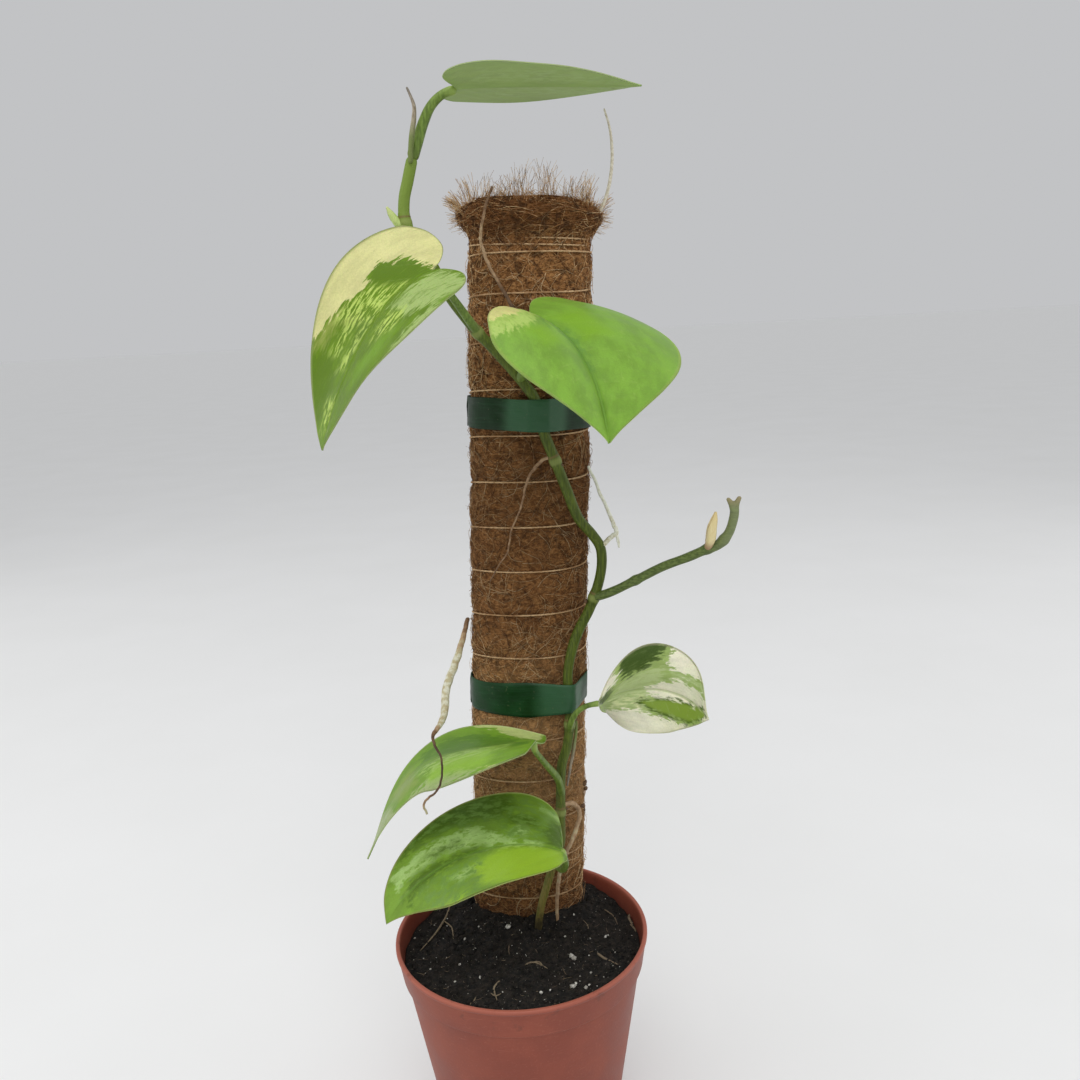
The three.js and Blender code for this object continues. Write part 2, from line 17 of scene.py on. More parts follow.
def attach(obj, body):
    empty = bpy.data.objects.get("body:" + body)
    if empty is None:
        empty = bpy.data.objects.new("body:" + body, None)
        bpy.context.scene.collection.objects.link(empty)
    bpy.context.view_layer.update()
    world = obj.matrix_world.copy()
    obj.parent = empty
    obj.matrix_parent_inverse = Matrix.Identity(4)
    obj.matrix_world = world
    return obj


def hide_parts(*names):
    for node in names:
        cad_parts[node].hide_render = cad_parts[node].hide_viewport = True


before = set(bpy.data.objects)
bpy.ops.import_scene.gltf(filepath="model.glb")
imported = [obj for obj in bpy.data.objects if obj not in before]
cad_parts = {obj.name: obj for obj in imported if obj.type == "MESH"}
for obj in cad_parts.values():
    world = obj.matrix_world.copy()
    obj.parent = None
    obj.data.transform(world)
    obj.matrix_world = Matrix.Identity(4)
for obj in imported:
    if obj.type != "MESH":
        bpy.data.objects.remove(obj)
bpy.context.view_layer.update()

# %% [markdown]
# ## The camera
#
# A Blender camera looks along its own -Z axis. This one stands in front of the plant, a little above the
# middle of the pole, and looks down by 12.4 degrees. It is also rolled by 3 degrees, because the picture
# is slightly askew. Writing the three axes out as columns of a matrix is clearer than three rotation
# angles that depend on their order.

# %% Camera
CAMERA_AT = (0.0189, -0.4290, 0.3908)
LOOK_DOWN = math.radians(12.37)
ROLL = math.radians(-3.09)

forward = Vector((0, math.cos(LOOK_DOWN), -math.sin(LOOK_DOWN)))
level = Vector((1, 0, 0))
above = level.cross(forward)
picture_right = math.cos(ROLL) * level + math.sin(ROLL) * above
picture_up = math.cos(ROLL) * above - math.sin(ROLL) * level


def in_scene(name, data):
    """A new object that shows some data, linked to the scene."""
    thing = bpy.data.objects.new(name, data)
    bpy.context.collection.objects.link(thing)
    return thing


camera = in_scene("camera", bpy.data.cameras.new("camera"))
camera.data.sensor_width = 36
camera.data.lens = 33.333
camera.data.clip_start = 0.01
camera.matrix_world = Matrix((picture_right, picture_up, -forward)).transposed().to_4x4()
camera.matrix_world.translation = CAMERA_AT
bpy.context.scene.camera = camera
print("camera at", CAMERA_AT)

# %% [markdown]
# ## Soft studio light
#
# Large area lights give soft shadows, which suits leaves and fibres. One overhead lights the leaves' upper
# sides, one at each side brightens the pot's flanks, and one above the camera opens the shadows in front.
# A pale world fills in the rest. The plain "Standard" view shows colours as they are mixed.

# %% Lights
PALE_DAYLIGHT = (0.93, 0.94, 0.96, 1)
PLANT_MIDDLE = Vector((0.02, 0.02, 0.25))


def soft_light(name, place, size, watts):
    """A square area light at `place` that looks at the middle of the plant."""
    data = bpy.data.lights.new(name, "AREA")
    data.size = size
    data.energy = watts
    lamp = in_scene(name, data)
    lamp.location = place
    lamp.rotation_euler = (PLANT_MIDDLE - Vector(place)).to_track_quat("-Z", "Y").to_euler()


soft_light("overhead", (-0.3, -0.6, 1.7), 1.3, 7)
soft_light("left_side", (-1.3, 0.15, 0.6), 1.8, 6.5)
soft_light("right_side", (1.3, 0.2, 0.65), 1.8, 5.5)
soft_light("front", (0.1, -1.2, 1.35), 1.2, 9)

world = bpy.data.worlds.new("pale_room")
world.use_nodes = True
world.node_tree.nodes["Background"].inputs["Color"].default_value = PALE_DAYLIGHT
world.node_tree.nodes["Background"].inputs["Strength"].default_value = 0.58
bpy.context.scene.world = world
bpy.context.scene.view_settings.view_transform = "Standard"

# %% [markdown]
# ## Helpers for meshes
#
# Nearly every piece is a skin stretched over rings of points: a pot, a stem, a root, a fibre. `wrap`
# turns such rings into faces. `piece` makes the Blender object: it takes millimetres, which are easier to
# read than metres at this size, and it ties the object to the CAD model. `paint` stores one number per
# point, which a material can read to change colour along a stem or across a leaf.

# %% Helpers for meshes
def all_round(count):
    """Angles evenly round a circle."""
    return np.arange(count) * 2 * np.pi / count


def wrap(rings, first=None, last=None):
    """Points and faces of a skin over `rings` (rows, around, 3), with a point that closes either end."""
    rows, around = rings.shape[:2]
    spots = [rings.reshape(-1, 3)]
    at = np.arange(rows * around).reshape(rows, around)
    after = np.roll(at, -1, axis=1)
    faces = np.stack([at[:-1], after[:-1], after[1:], at[1:]], -1).reshape(-1, 4).tolist()
    count = rows * around
    if first is not None:
        spots.append(np.reshape(first, (1, 3)))
        faces += [[count, b, a] for a, b in zip(at[0].tolist(), after[0].tolist())]
        count += 1
    if last is not None:
        spots.append(np.reshape(last, (1, 3)))
        faces += [[a, b, count] for a, b in zip(at[-1].tolist(), after[-1].tolist())]
    return np.vstack(spots), faces


def piece(name, spots, faces, finish, stands_for=()):
    """A named object from points in millimetres. It replaces the CAD nodes in `stands_for`."""
    mesh = bpy.data.meshes.new(name)
    mesh.from_pydata((np.asarray(spots) * 0.001).tolist(), [], faces)
    mesh.materials.append(finish)
    mesh.shade_smooth()
    thing = in_scene(name, mesh)
    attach(thing, "root")
    if stands_for:
        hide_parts(*stands_for)
    print(name, len(mesh.vertices), "points", len(mesh.polygons), "faces")
    return thing


def paint(thing, name, values):
    """Stores one number per point, or one vector of three, for materials to read."""
    values = np.asarray(values, dtype=np.float32)
    kind, key = ("FLOAT", "value") if values.ndim == 1 else ("FLOAT_VECTOR", "vector")
    thing.data.attributes.new(name, kind, "POINT").data.foreach_set(key, values.ravel())

# %% [markdown]
# ## Helpers for materials
#
# A finish is a small tree of shader nodes. The same few steps come back in all of them: a noise, a range
# of that noise picked out, a blend of two colours, and fine relief. One short function for each keeps
# every recipe below readable. Colours are written as the 0-255 values of a colour picker and turned into
# the linear values that a shader needs.

# %% Colours and nodes
def rgb(red, green, blue):
    """A colour-picker colour as linear red, green, blue and alpha."""
    values = np.array([red, green, blue]) / 255
    linear = np.where(values <= 0.04045, values / 12.92, ((values + 0.055) / 1.055) ** 2.4)
    return (*linear.tolist(), 1.0)


def new_finish(name, roughness, **sockets):
    """A material with its shader's plain sockets set. Returns the material and its tree."""
    material = bpy.data.materials.new(name)
    material.use_nodes = True
    shader = material.node_tree.nodes["Principled BSDF"]
    shader.inputs["Roughness"].default_value = roughness
    for key, value in sockets.items():
        shader.inputs[key.replace("_", " ")].default_value = value
    return material, material.node_tree


def node(tree, kind, output, settings, **inputs):
    """Adds a node, fills or links its inputs, and returns one of its outputs."""
    made = tree.nodes.new("ShaderNode" + kind)
    for key, value in settings.items():
        setattr(made, key, value)
    for key, value in inputs.items():
        socket = made.inputs[int(key[1:]) if key[0] == "i" and key[1:].isdigit() else key.replace("_", " ")]
        if isinstance(value, bpy.types.NodeSocket):
            tree.links.new(value, socket)
        else:
            socket.default_value = value
    return made.outputs[output]


def place(tree):
    """Where a point is, in metres."""
    return node(tree, "TexCoord", "Object", {})


def painted(tree, name, output="Fac"):
    """What `paint` stored under a name."""
    return node(tree, "Attribute", output, {"attribute_name": name})


print("mid grey is", rgb(128, 128, 128))

# %% Noise and ranges
def speckle(tree, vector, scale, detail=3.0, rough=0.55):
    """A cloudy noise from 0 to 1."""
    return node(tree, "TexNoise", 0, {}, Vector=vector, Scale=scale, Detail=detail, Roughness=rough)


def streaked(tree, vector, x, y, z, detail=3.0, rough=0.55):
    """The same noise with a scale for each axis, which makes it long and thin."""
    scaled = node(tree, "Mapping", "Vector", {}, Vector=vector, Scale=(x, y, z))
    return speckle(tree, scaled, 1.0, detail, rough)


def between(tree, value, low, high, start=0.0, end=1.0):
    """`start` where the value is below `low`, `end` above `high`, and smooth in between."""
    return node(tree, "MapRange", 0, {"interpolation_type": "SMOOTHSTEP"},
                i0=value, i1=low, i2=high, i3=start, i4=end)


def height_of(tree, where):
    """A position's height in metres."""
    return node(tree, "SeparateXYZ", "Z", {}, Vector=where)


print("noise helpers ready")

# %% Blends and coats
def total(tree, first, second):
    """Two values added."""
    return node(tree, "Math", 0, {"operation": "ADD"}, i0=first, i1=second)


def blend(tree, amount, first, second):
    """Two colours mixed by an amount."""
    return node(tree, "Mix", 2, {"data_type": "RGBA"}, i0=amount, i6=first, i7=second)


def over(tree, tint, tone, value, low, high, start=0.0, end=1.0):
    """A tone laid over a colour by the amount that `between` gives."""
    return blend(tree, between(tree, value, low, high, start, end), tint, rgb(*tone))


def ramped(tree, value, *tones):
    """The colour at a value among (position, colour) stops, which run from 0 to 1."""
    ramp = tree.nodes.new("ShaderNodeValToRGB")
    stops = ramp.color_ramp.elements
    for stop, (spot, tone) in zip(stops, (tones[0], tones[-1])):
        stop.position, stop.color = spot, rgb(*tone)
    for spot, tone in tones[1:-1]:
        stops.new(spot).color = rgb(*tone)
    tree.links.new(value, ramp.inputs["Fac"])
    return ramp.outputs["Color"]


def product(tree, first, second):
    """Two values multiplied, which keeps only where both are high."""
    return node(tree, "Math", 0, {"operation": "MULTIPLY"}, i0=first, i1=second)


def coat(tree, tint, *heights, roughness=None):
    """Gives the shader its colour and fine relief: each height is a value and how many metres it stands out."""
    shader = tree.nodes["Principled BSDF"]
    tree.links.new(tint, shader.inputs["Base Color"])
    if roughness is not None:
        tree.links.new(roughness, shader.inputs["Roughness"])
    bump = {}
    for height, depth in heights:
        bump = {"Normal": node(tree, "Bump", "Normal", {}, Height=height, Distance=depth, Strength=1.0, **bump)}
    if bump:
        tree.links.new(bump["Normal"], shader.inputs["Normal"])


print("coat helpers ready")

# %% [markdown]
# ## The floor
#
# The plant stands on a plain pale floor. It is far larger than the plant, so that its edge stays out of
# sight from every side. The lights fall off towards that edge, so the floor gives off a trace of the
# world's own colour: that keeps its far part from turning into a dark band.

# %% Floor
FLOOR_REACH = 30.0
floor_finish, tree = new_finish("pale_floor", 0.7, Emission_Color=PALE_DAYLIGHT, Emission_Strength=0.145)
coat(tree, blend(tree, speckle(tree, place(tree), 6.0), rgb(214, 214, 212), rgb(221, 221, 220)))
floor_mesh = bpy.data.meshes.new("pale_floor")
corners = [(x * FLOOR_REACH, y * FLOOR_REACH, 0) for x, y in ((-1, -1), (1, -1), (1, 1), (-1, 1))]
floor_mesh.from_pydata(corners, [], [(0, 1, 2, 3)])
floor_mesh.materials.append(floor_finish)
in_scene("pale_floor", floor_mesh)
print("floor side", 2 * FLOOR_REACH, "m")

# %% [markdown]
# ## The pot
#
# A nursery pot is injection moulded from thin plastic: a tapered wall, a thicker collar that makes a small
# step on the outside, a rounded lip, and holes in the floor for water. Since it is round, one half of its
# section turned about the Z axis gives the whole pot. Only the corners need care: real plastic has no
# knife edges, so each corner of the section is rounded before it is turned.

# %% Pot section
POT_HEIGHT, RIM_RADIUS, BASE_RADIUS = 107.0, 60.0, 41.0
WALL, POT_FLOOR = 1.5, 2.5
COLLAR_FOOT, COLLAR_STEP = 92.0, 1.4


def wall_radius(z):
    """The outside radius of the tapered wall at a height."""
    return BASE_RADIUS + (RIM_RADIUS - COLLAR_STEP - BASE_RADIUS) / POT_HEIGHT * z


def rounded(corners, steps=5):
    """A section line with each corner (radius, height, rounding) turned into a short arc."""
    line = []
    for i, (r, z, size) in enumerate(corners):
        here = np.array([r, z])
        if size == 0 or i in (0, len(corners) - 1):
            line.append(here)
            continue
        before, after = (np.array(corners[j][:2]) - here for j in (i - 1, i + 1))
        start = here + before / np.linalg.norm(before) * size
        end = here + after / np.linalg.norm(after) * size
        for t in np.linspace(0, 1, steps):
            line.append((1 - t) ** 2 * start + 2 * t * (1 - t) * here + t ** 2 * end)
    return np.array(line)


def turn(section, sides):
    """Turns a section line about Z. Its first and last points lie on the axis."""
    angle = all_round(sides)
    inner = section[1:-1]
    rings = np.stack([inner[:, :1] * np.cos(angle), inner[:, :1] * np.sin(angle),
                      np.repeat(inner[:, 1:], sides, axis=1)], -1)
    return wrap(rings, (0, 0, section[0][1]), (0, 0, section[-1][1]))


foot = wall_radius(COLLAR_FOOT)
pot_section = rounded([
    (0, 1.0, 0), (14, 1.0, 1), (16, 0.8, .5), (BASE_RADIUS - 5, 0.8, 1), (BASE_RADIUS - 3.5, 0, .5),
    (BASE_RADIUS - 0.2, 0, 0.9), (wall_radius(2), 2, 0.6), (wall_radius(30), 30, 5),
    (wall_radius(COLLAR_FOOT - 3), COLLAR_FOOT - 3, 1), (foot, COLLAR_FOOT - 0.1, 0.25),
    (foot + COLLAR_STEP, COLLAR_FOOT + 0.5, 0.45), (RIM_RADIUS - 0.55, POT_HEIGHT - 2.4, 0.5),
    (RIM_RADIUS, POT_HEIGHT - 1.7, 0.4), (RIM_RADIUS, POT_HEIGHT, 0.8),
    (RIM_RADIUS - WALL - 0.4, POT_HEIGHT, 0.7), (foot + COLLAR_STEP - WALL, COLLAR_FOOT + 2, 0.8),
    (foot - WALL, COLLAR_FOOT - 1, 0.8), (wall_radius(POT_FLOOR) - WALL, POT_FLOOR, 1.2), (20, POT_FLOOR, 1),
    (0, POT_FLOOR, 0),
])
print("pot section points", len(pot_section))

# %% [markdown]
# ### Its plastic
#
# Terracotta-coloured polypropylene is not quite even: the colour has faint clouds, the surface a fine
# grain that makes it satin rather than glossy, and a used pot has thin scratches and a little dried soil
# near the rim. The lip is lighter where it is thin and rubbed, and height is enough to tell where that is.
# The inside wall is darker and browner: there the mesh will say which points lie inside.

# %% Pot plastic
pot_finish, tree = new_finish("terracotta_plastic", 0.5, Specular_IOR_Level=0.28)
where = place(tree)
clouds = speckle(tree, where, 35.0, 4.0)
tint = over(tree, rgb(128, 62, 46), (141, 72, 54), clouds, 0.35, 0.65)
grain = speckle(tree, where, 900.0, 2.0)
tint = over(tree, tint, (172, 108, 88), grain, 0.55, 0.75, 0, 0.16)
height = height_of(tree, where)
tint = over(tree, tint, (182, 108, 90), height, 0.1045, 0.1068, 0, 0.5)
scratches = streaked(tree, where, 60, 60, 900, 2.0, 0.7)
tint = over(tree, tint, (170, 104, 86), scratches, 0.66, 0.75, 0, 0.3)
smears = product(tree, between(tree, speckle(tree, where, 110.0, 6.0, 0.7), 0.56, 0.7),
                between(tree, height, 0.085, 0.1, 0.05, 0.5))
tint = blend(tree, smears, tint, rgb(88, 52, 42))
# The inner wall is painted darker and browner.
tint = blend(tree, product(tree, painted(tree, "inside"), 0.7), tint, rgb(72, 42, 38))
dullness = between(tree, clouds, 0.3, 0.7, 0.42, 0.56)
coat(tree, tint, (grain, 0.00006), (scratches, 0.00004), roughness=dullness)
print("finish", pot_finish.name)

# %% [markdown]
# ### Turning it and cutting the holes
#
# The drain holes are cut with a Boolean modifier, the surest way to put clean round holes in a floor. The
# cutter is one mesh of eight pegs. A Bevel modifier then softens the cut edges, and the result is made
# real, because nothing is going to change it later. Only then are the inner wall's points marked, since
# the cut has changed the mesh.

# %% Pot
DRAIN_HOLES, DRAIN_RADIUS, DRAIN_CIRCLE = 8, 3.5, 27.0
PEG_BOTTOM, PEG_TOP, PEG_SIDES = -3, 6, 24
POT_SIDES = 144


def settle(thing):
    """Replaces an object's mesh with what its modifiers make of it."""
    view = bpy.context.evaluated_depsgraph_get()
    result = bpy.data.meshes.new_from_object(thing.evaluated_get(view))
    thing.modifiers.clear()
    thing.data = result


peg_section = np.array([(0, PEG_BOTTOM), (DRAIN_RADIUS, PEG_BOTTOM), (DRAIN_RADIUS, PEG_TOP), (0, PEG_TOP)])
peg, peg_skin = turn(peg_section, PEG_SIDES)
peg_spots, peg_faces = [], []
for i in range(DRAIN_HOLES):
    angle = (i + 0.5) / DRAIN_HOLES * 2 * math.pi
    peg_spots.append(peg + DRAIN_CIRCLE * np.array([math.cos(angle), math.sin(angle), 0]))
    peg_faces += [[corner + i * len(peg) for corner in face] for face in peg_skin]
peg_mesh = bpy.data.meshes.new("drain_pegs")
peg_mesh.from_pydata((np.vstack(peg_spots) * 0.001).tolist(), [], peg_faces)
pegs = in_scene("drain_pegs", peg_mesh)

spots, faces = turn(pot_section, POT_SIDES)
pot = piece("nursery_pot", spots, faces, pot_finish, ["pot"])
cutting = pot.modifiers.new("drain holes", "BOOLEAN")
cutting.object = pegs
cutting.operation = "DIFFERENCE"
cutting.solver = "EXACT"
settle(pot)
softening = pot.modifiers.new("soft edges", "BEVEL")
softening.width = 0.00035
softening.segments = 2
softening.limit_method = "ANGLE"
softening.angle_limit = math.radians(50)
settle(pot)
pot.data.shade_smooth()
pot.data.set_sharp_from_angle(angle=math.radians(45))
bpy.data.objects.remove(pegs)
x, y, z = np.array([corner.co for corner in pot.data.vertices]).T * 1000
inner_wall = wall_radius(z) + COLLAR_STEP * (z > COLLAR_FOOT) - 0.6 * WALL
paint(pot, "inside", (np.hypot(x, y) < inner_wall) & (z > POT_FLOOR) & (z < POT_HEIGHT - 3))
print("pot faces after cutting", len(pot.data.polygons))

# %% [markdown]
# ## The potting soil
#
# Potting soil is dark peat: clods, crumbs and holes, with white perlite grains, wood slivers and root
# hairs in it. Its surface is a round sheet of points raised by fractal noise, with a low mound where it
# was pushed against the pole. The sheet is dense, because the shadows between clods are what makes soil
# look like soil.

# %% Soil surface
SOIL_LEVEL = 97.0
POLE_FOOT = np.array([3.1, 35.0, SOIL_LEVEL])
SLEEVE_HALF_WIDTH, SLEEVE_HALF_DEPTH = 27.3, 17.0


def soil_height(x, y):
    """The height of the smooth soil surface, with the mound at the pole."""
    to_pole = np.maximum(0, np.hypot(x - POLE_FOOT[0], 1.4 * (y - POLE_FOOT[1])) - SLEEVE_HALF_WIDTH)
    waves = np.sin(0.31 * x + 1.1) * np.sin(0.27 * y + 0.4) + 0.6 * np.sin(0.63 * x - 0.5 * y)
    return SOIL_LEVEL + 5 * np.exp(-(to_pole / 20) ** 2) + 0.6 * waves


def clods(x, y):
    """How far clods and crumbs rise over that surface, at each point."""
    rise = []
    for px, py in zip(np.ravel(x), np.ravel(y)):
        big = noise.fractal(Vector((px / 9, py / 9, 0.3)), 0.9, 2.1, 3)
        small = noise.turbulence(Vector((px / 3.2, py / 3.2, 5.1)), 3, True)
        rise.append(0.55 * big + 0.95 * (small - 0.45))
    return np.reshape(rise, np.shape(x))


SOIL_RINGS, SOIL_SIDES = 100, 230
SOIL_EDGE = 56.3
radius = SOIL_EDGE * np.linspace(1, 0, SOIL_RINGS, endpoint=False)[:, None] ** 0.9
angle = all_round(SOIL_SIDES)[None]
x, y = radius * np.cos(angle), radius * np.sin(angle)
edge_calm = np.clip((SOIL_EDGE - radius) / 3, 0.15, 1)
top = np.stack([x, y, soil_height(x, y) + clods(x, y) * edge_calm], -1)
below = []
for r, z in ((wall_radius(POT_FLOOR) - WALL - 0.6, POT_FLOOR + 0.3), (foot - WALL - 0.5, COLLAR_FOOT - 2),
             (foot + COLLAR_STEP - WALL - 0.4, COLLAR_FOOT + 2.5)):
    below.append(np.stack([r * np.cos(angle[0]), r * np.sin(angle[0]), np.full(SOIL_SIDES, z)], -1))
soil_rings = np.concatenate([np.array(below), top])
print("soil top from", round(top[..., 2].min(), 1), "to", round(top[..., 2].max(), 1), "mm")

# %% [markdown]
# ### Soil colours
#
# Wet peat is almost black, drier crumbs are brown, and tiny pale fibres and mineral specks are scattered
# through it. Three noises of different sizes do this. Its roughness is high, with some damp, darker and
# slightly shinier places.

# %% Soil finish
soil_finish, tree = new_finish("dark_peat", 0.9, Specular_IOR_Level=0.25)
where = place(tree)
patches = speckle(tree, where, 55.0, 5.0, 0.6)
crumbs = speckle(tree, where, 420.0, 5.0, 0.65)
specks = speckle(tree, where, 1100.0, 2.0, 0.6)
tint = over(tree, rgb(13, 12, 11), (26, 23, 20), patches, 0.35, 0.65)
tint = over(tree, tint, (42, 36, 31), crumbs, 0.42, 0.66)
tint = over(tree, tint, (150, 142, 130), specks, 0.68, 0.74, 0, 0.8)
grit = speckle(tree, where, 1600.0, 3.0)
dullness = between(tree, patches, 0.3, 0.7, 0.72, 0.97)
coat(tree, tint, (crumbs, 0.0006), (grit, 0.0002), roughness=dullness)

spots, faces = wrap(soil_rings, (0, 0, POT_FLOOR + 0.3), (0, 0, soil_height(0, 0)))
piece("potting_soil", spots, faces, soil_finish, ["soil"])

# %% [markdown]
# ### Crumbs and perlite
#
# Loose crumbs are one rough ball, copied many times with its own size, stretch and turn. `numpy` places
# them all at once, which is far quicker than thousands of Blender objects and gives one tidy mesh. A
# seeded random generator makes the same soil on every run. Larger clods lie between the crumbs, and a
# few are heaped round the foot of the stem, so that it grows out of the soil and isn't just stuck in it.

# %% Rough lumps
def ball(rings=5, around=8):
    """Points and faces of a small ball of radius 1."""
    tilt = np.linspace(-np.pi / 2, np.pi / 2, rings + 2)[1:-1]
    spin = all_round(around)
    skin = np.stack([np.cos(tilt)[:, None] * np.cos(spin), np.cos(tilt)[:, None] * np.sin(spin),
                     np.repeat(np.sin(tilt)[:, None], around, axis=1)], -1)
    return wrap(skin, (0, 0, -1), (0, 0, 1))


def lumps(name, at, size, finish, seed, roughness=0.3, detail=(4, 7), flat=0.75):
    """Rough balls at given spots, each with its own stretch and turn."""
    rng = np.random.default_rng(seed)
    shape, faces = ball(*detail)
    count = len(at)
    bumps = 1 + roughness * rng.uniform(-1, 1, (count, len(shape), 1))
    body = shape[None] * bumps * rng.uniform(0.6, 1.3, (count, 1, 3)) * np.array([1, 1, flat])
    spin, tip = rng.uniform(0, 2 * np.pi, count), rng.uniform(-0.5, 0.5, count)
    c, s = np.cos(spin)[:, None], np.sin(spin)[:, None]
    x, y, z = body[..., 0] * c - body[..., 1] * s, body[..., 0] * s + body[..., 1] * c, body[..., 2]
    c, s = np.cos(tip)[:, None], np.sin(tip)[:, None]
    turned = np.stack([x * c - z * s, y, x * s + z * c], -1) * np.reshape(size, (-1, 1, 1))
    spots = (turned + at[:, None]).reshape(-1, 3)
    corners = [[k + i * len(shape) for k in face] for i in range(count) for face in faces]
    return piece(name, spots, corners, finish)

# %% Places on the soil
def on_soil(x, y, sunk=0.0):
    """Points on the rough soil surface."""
    return np.stack([x, y, soil_height(x, y) + clods(x, y) - sunk], -1)


def outside_pole(x, y, margin=1.5):
    """Which points lie outside the coir pole."""
    return np.hypot((x - POLE_FOOT[0]) / (SLEEVE_HALF_WIDTH + margin),
                    (y - POLE_FOOT[1]) / (SLEEVE_HALF_DEPTH + margin)) > 1


def scattered(rng, count, reach=54.5):
    """Random points on the soil, clear of the pole."""
    r, a = reach * np.sqrt(rng.uniform(0, 1, count)), rng.uniform(0, 2 * np.pi, count)
    x, y = r * np.cos(a), r * np.sin(a)
    free = outside_pole(x, y)
    return x[free], y[free]


STEM_FOOT = np.array([7.5, 8.0])
print("soil at the stem's foot:", on_soil(*STEM_FOOT).round(1))

# %% Crumbs
CRUMBS, CLODS, HEAPED = 3000, 420, 46
rng = np.random.default_rng(11)
x, y = scattered(rng, CRUMBS)
lumps("soil_crumbs", on_soil(x, y), 0.28 + 0.55 * rng.uniform(0, 1, len(x)) ** 2, soil_finish, 12,
      detail=(2, 6))
x, y = scattered(rng, CLODS, 53.5)
lumps("soil_clods", on_soil(x, y, 0.3), rng.uniform(0.8, 1.9, len(x)), soil_finish, 13, detail=(5, 8))
way, out = rng.uniform(0, 2 * np.pi, HEAPED), rng.uniform(1.6, 4.2, HEAPED)
x, y = STEM_FOOT[0] + out * np.cos(way), STEM_FOOT[1] + out * np.sin(way)
lumps("stem_foot_soil", on_soil(x, y, 0.2), rng.uniform(0.5, 1.4, HEAPED), soil_finish, 14, detail=(6, 9))

# %% [markdown]
# Perlite is a puffed white mineral that keeps potting soil airy. The larger grains are placed where the
# picture shows them, and small ones are scattered between. They are slightly off-white, dusty and matte.

# %% Perlite
perlite_finish, tree = new_finish("perlite", 0.9)
where = place(tree)
dust = speckle(tree, where, 600.0, 4.0)
tint = over(tree, rgb(150, 145, 136), (208, 205, 198), dust, 0.35, 0.65)
coat(tree, tint, (dust, 0.0004))

SMALL_GRAINS = 150
GRAINS = np.array([  # x, y and radius of the large ones
    (-7, 10.2, 1.15), (23.4, -9.8, 1.3), (24.3, -12.2, 1.1), (23, -7.6, .9), (23, -30.7, 1.4), (24.4, -28.6, .9),
    (28.7, -33.2, 1.0), (30.3, -31.9, .8), (8.4, -34.3, 1.1), (-28.2, 7.1, .8), (-29.5, -11.9, .6),
    (-19.5, -22.2, .7), (32.7, 2.5, .6), (20.6, 3.1, .6), (31.8, -21.8, .9), (-31.1, -23.5, .5), (40.2, 3.3, .8),
])
rng = np.random.default_rng(21)
x, y = scattered(rng, SMALL_GRAINS)
at = np.vstack([on_soil(*GRAINS[:, :2].T), on_soil(x, y)])
size = np.concatenate([GRAINS[:, 2], 0.2 + 0.35 * rng.uniform(0, 1, len(x)) ** 3])
lumps("perlite_grains", at, size, perlite_finish, 22, 0.22, (6, 9), 0.9)

# %% [markdown]
# ## Smooth paths and tubes
#
# Stems, roots, stalks and cord are all tubes along a path. Blender curves with a bevel could make them,
# but a tube of our own can change its section from place to place: a knuckle here, a groove there, a
# forked tip. The path goes smoothly through a few points, and the section is carried along it without
# twisting.

# %% Paths
ANY_SIDE = (0.31, 0.87, 0.38)


def unit(v):
    """Vectors of length 1."""
    return v / np.linalg.norm(v, axis=-1)[..., None]


def smooth(points, steps=24):
    """A dense line through the points, without overshoot between points that stand close."""
    p = np.asarray(points, float)
    p = np.vstack([2 * p[0] - p[1], p, 2 * p[-1] - p[-2]])
    s = np.linspace(0, 1, steps, endpoint=False)[:, None]
    line = []
    for a, b, c, d in zip(p, p[1:], p[2:], p[3:]):
        t0, t1, t2 = (max(np.linalg.norm(v) ** 0.5, 1e-3) for v in (b - a, c - b, d - c))
        leave = ((b - a) / t0 - (c - a) / (t0 + t1) + (c - b) / t1) * t1
        arrive = ((c - b) / t1 - (d - b) / (t1 + t2) + (d - c) / t2) * t1
        line.append((2 * s**3 - 3 * s**2 + 1) * b + (s**3 - 2 * s**2 + s) * leave
                    + (3 * s**2 - 2 * s**3) * c + (s**3 - s**2) * arrive)
    return np.vstack(line + [p[-2:-1]])


def distances(line):
    """How far along a line each of its points is."""
    return np.r_[0, np.cumsum(np.linalg.norm(np.diff(line, axis=0), axis=1))]


def evenly(line, gap):
    """The same line with points about `gap` apart."""
    far = distances(line)
    at = np.linspace(0, far[-1], max(4, int(far[-1] / gap) + 1))
    return np.stack([np.interp(at, far, line[:, k]) for k in range(3)], -1)


print("a path through three points has", len(smooth([(0, 0, 0), (1, 0, 0), (2, 1, 0)])), "places")

# %% Tubes
def ringed(line, reach, start):
    """Rings of points round a line, `reach` away at each place and angle, that don't twist along it."""
    tangent = unit(np.gradient(line, axis=0))
    side = np.array(start, float)
    sides = []
    for t in tangent:
        side = side - t * side.dot(t)
        side = side / np.linalg.norm(side)
        sides.append(side)
    sides = np.array(sides)
    across = np.cross(tangent, sides)
    angle = all_round(reach.shape[1])[:, None]
    return line[:, None] + reach[..., None] * (np.cos(angle) * sides[:, None] + np.sin(angle) * across[:, None])


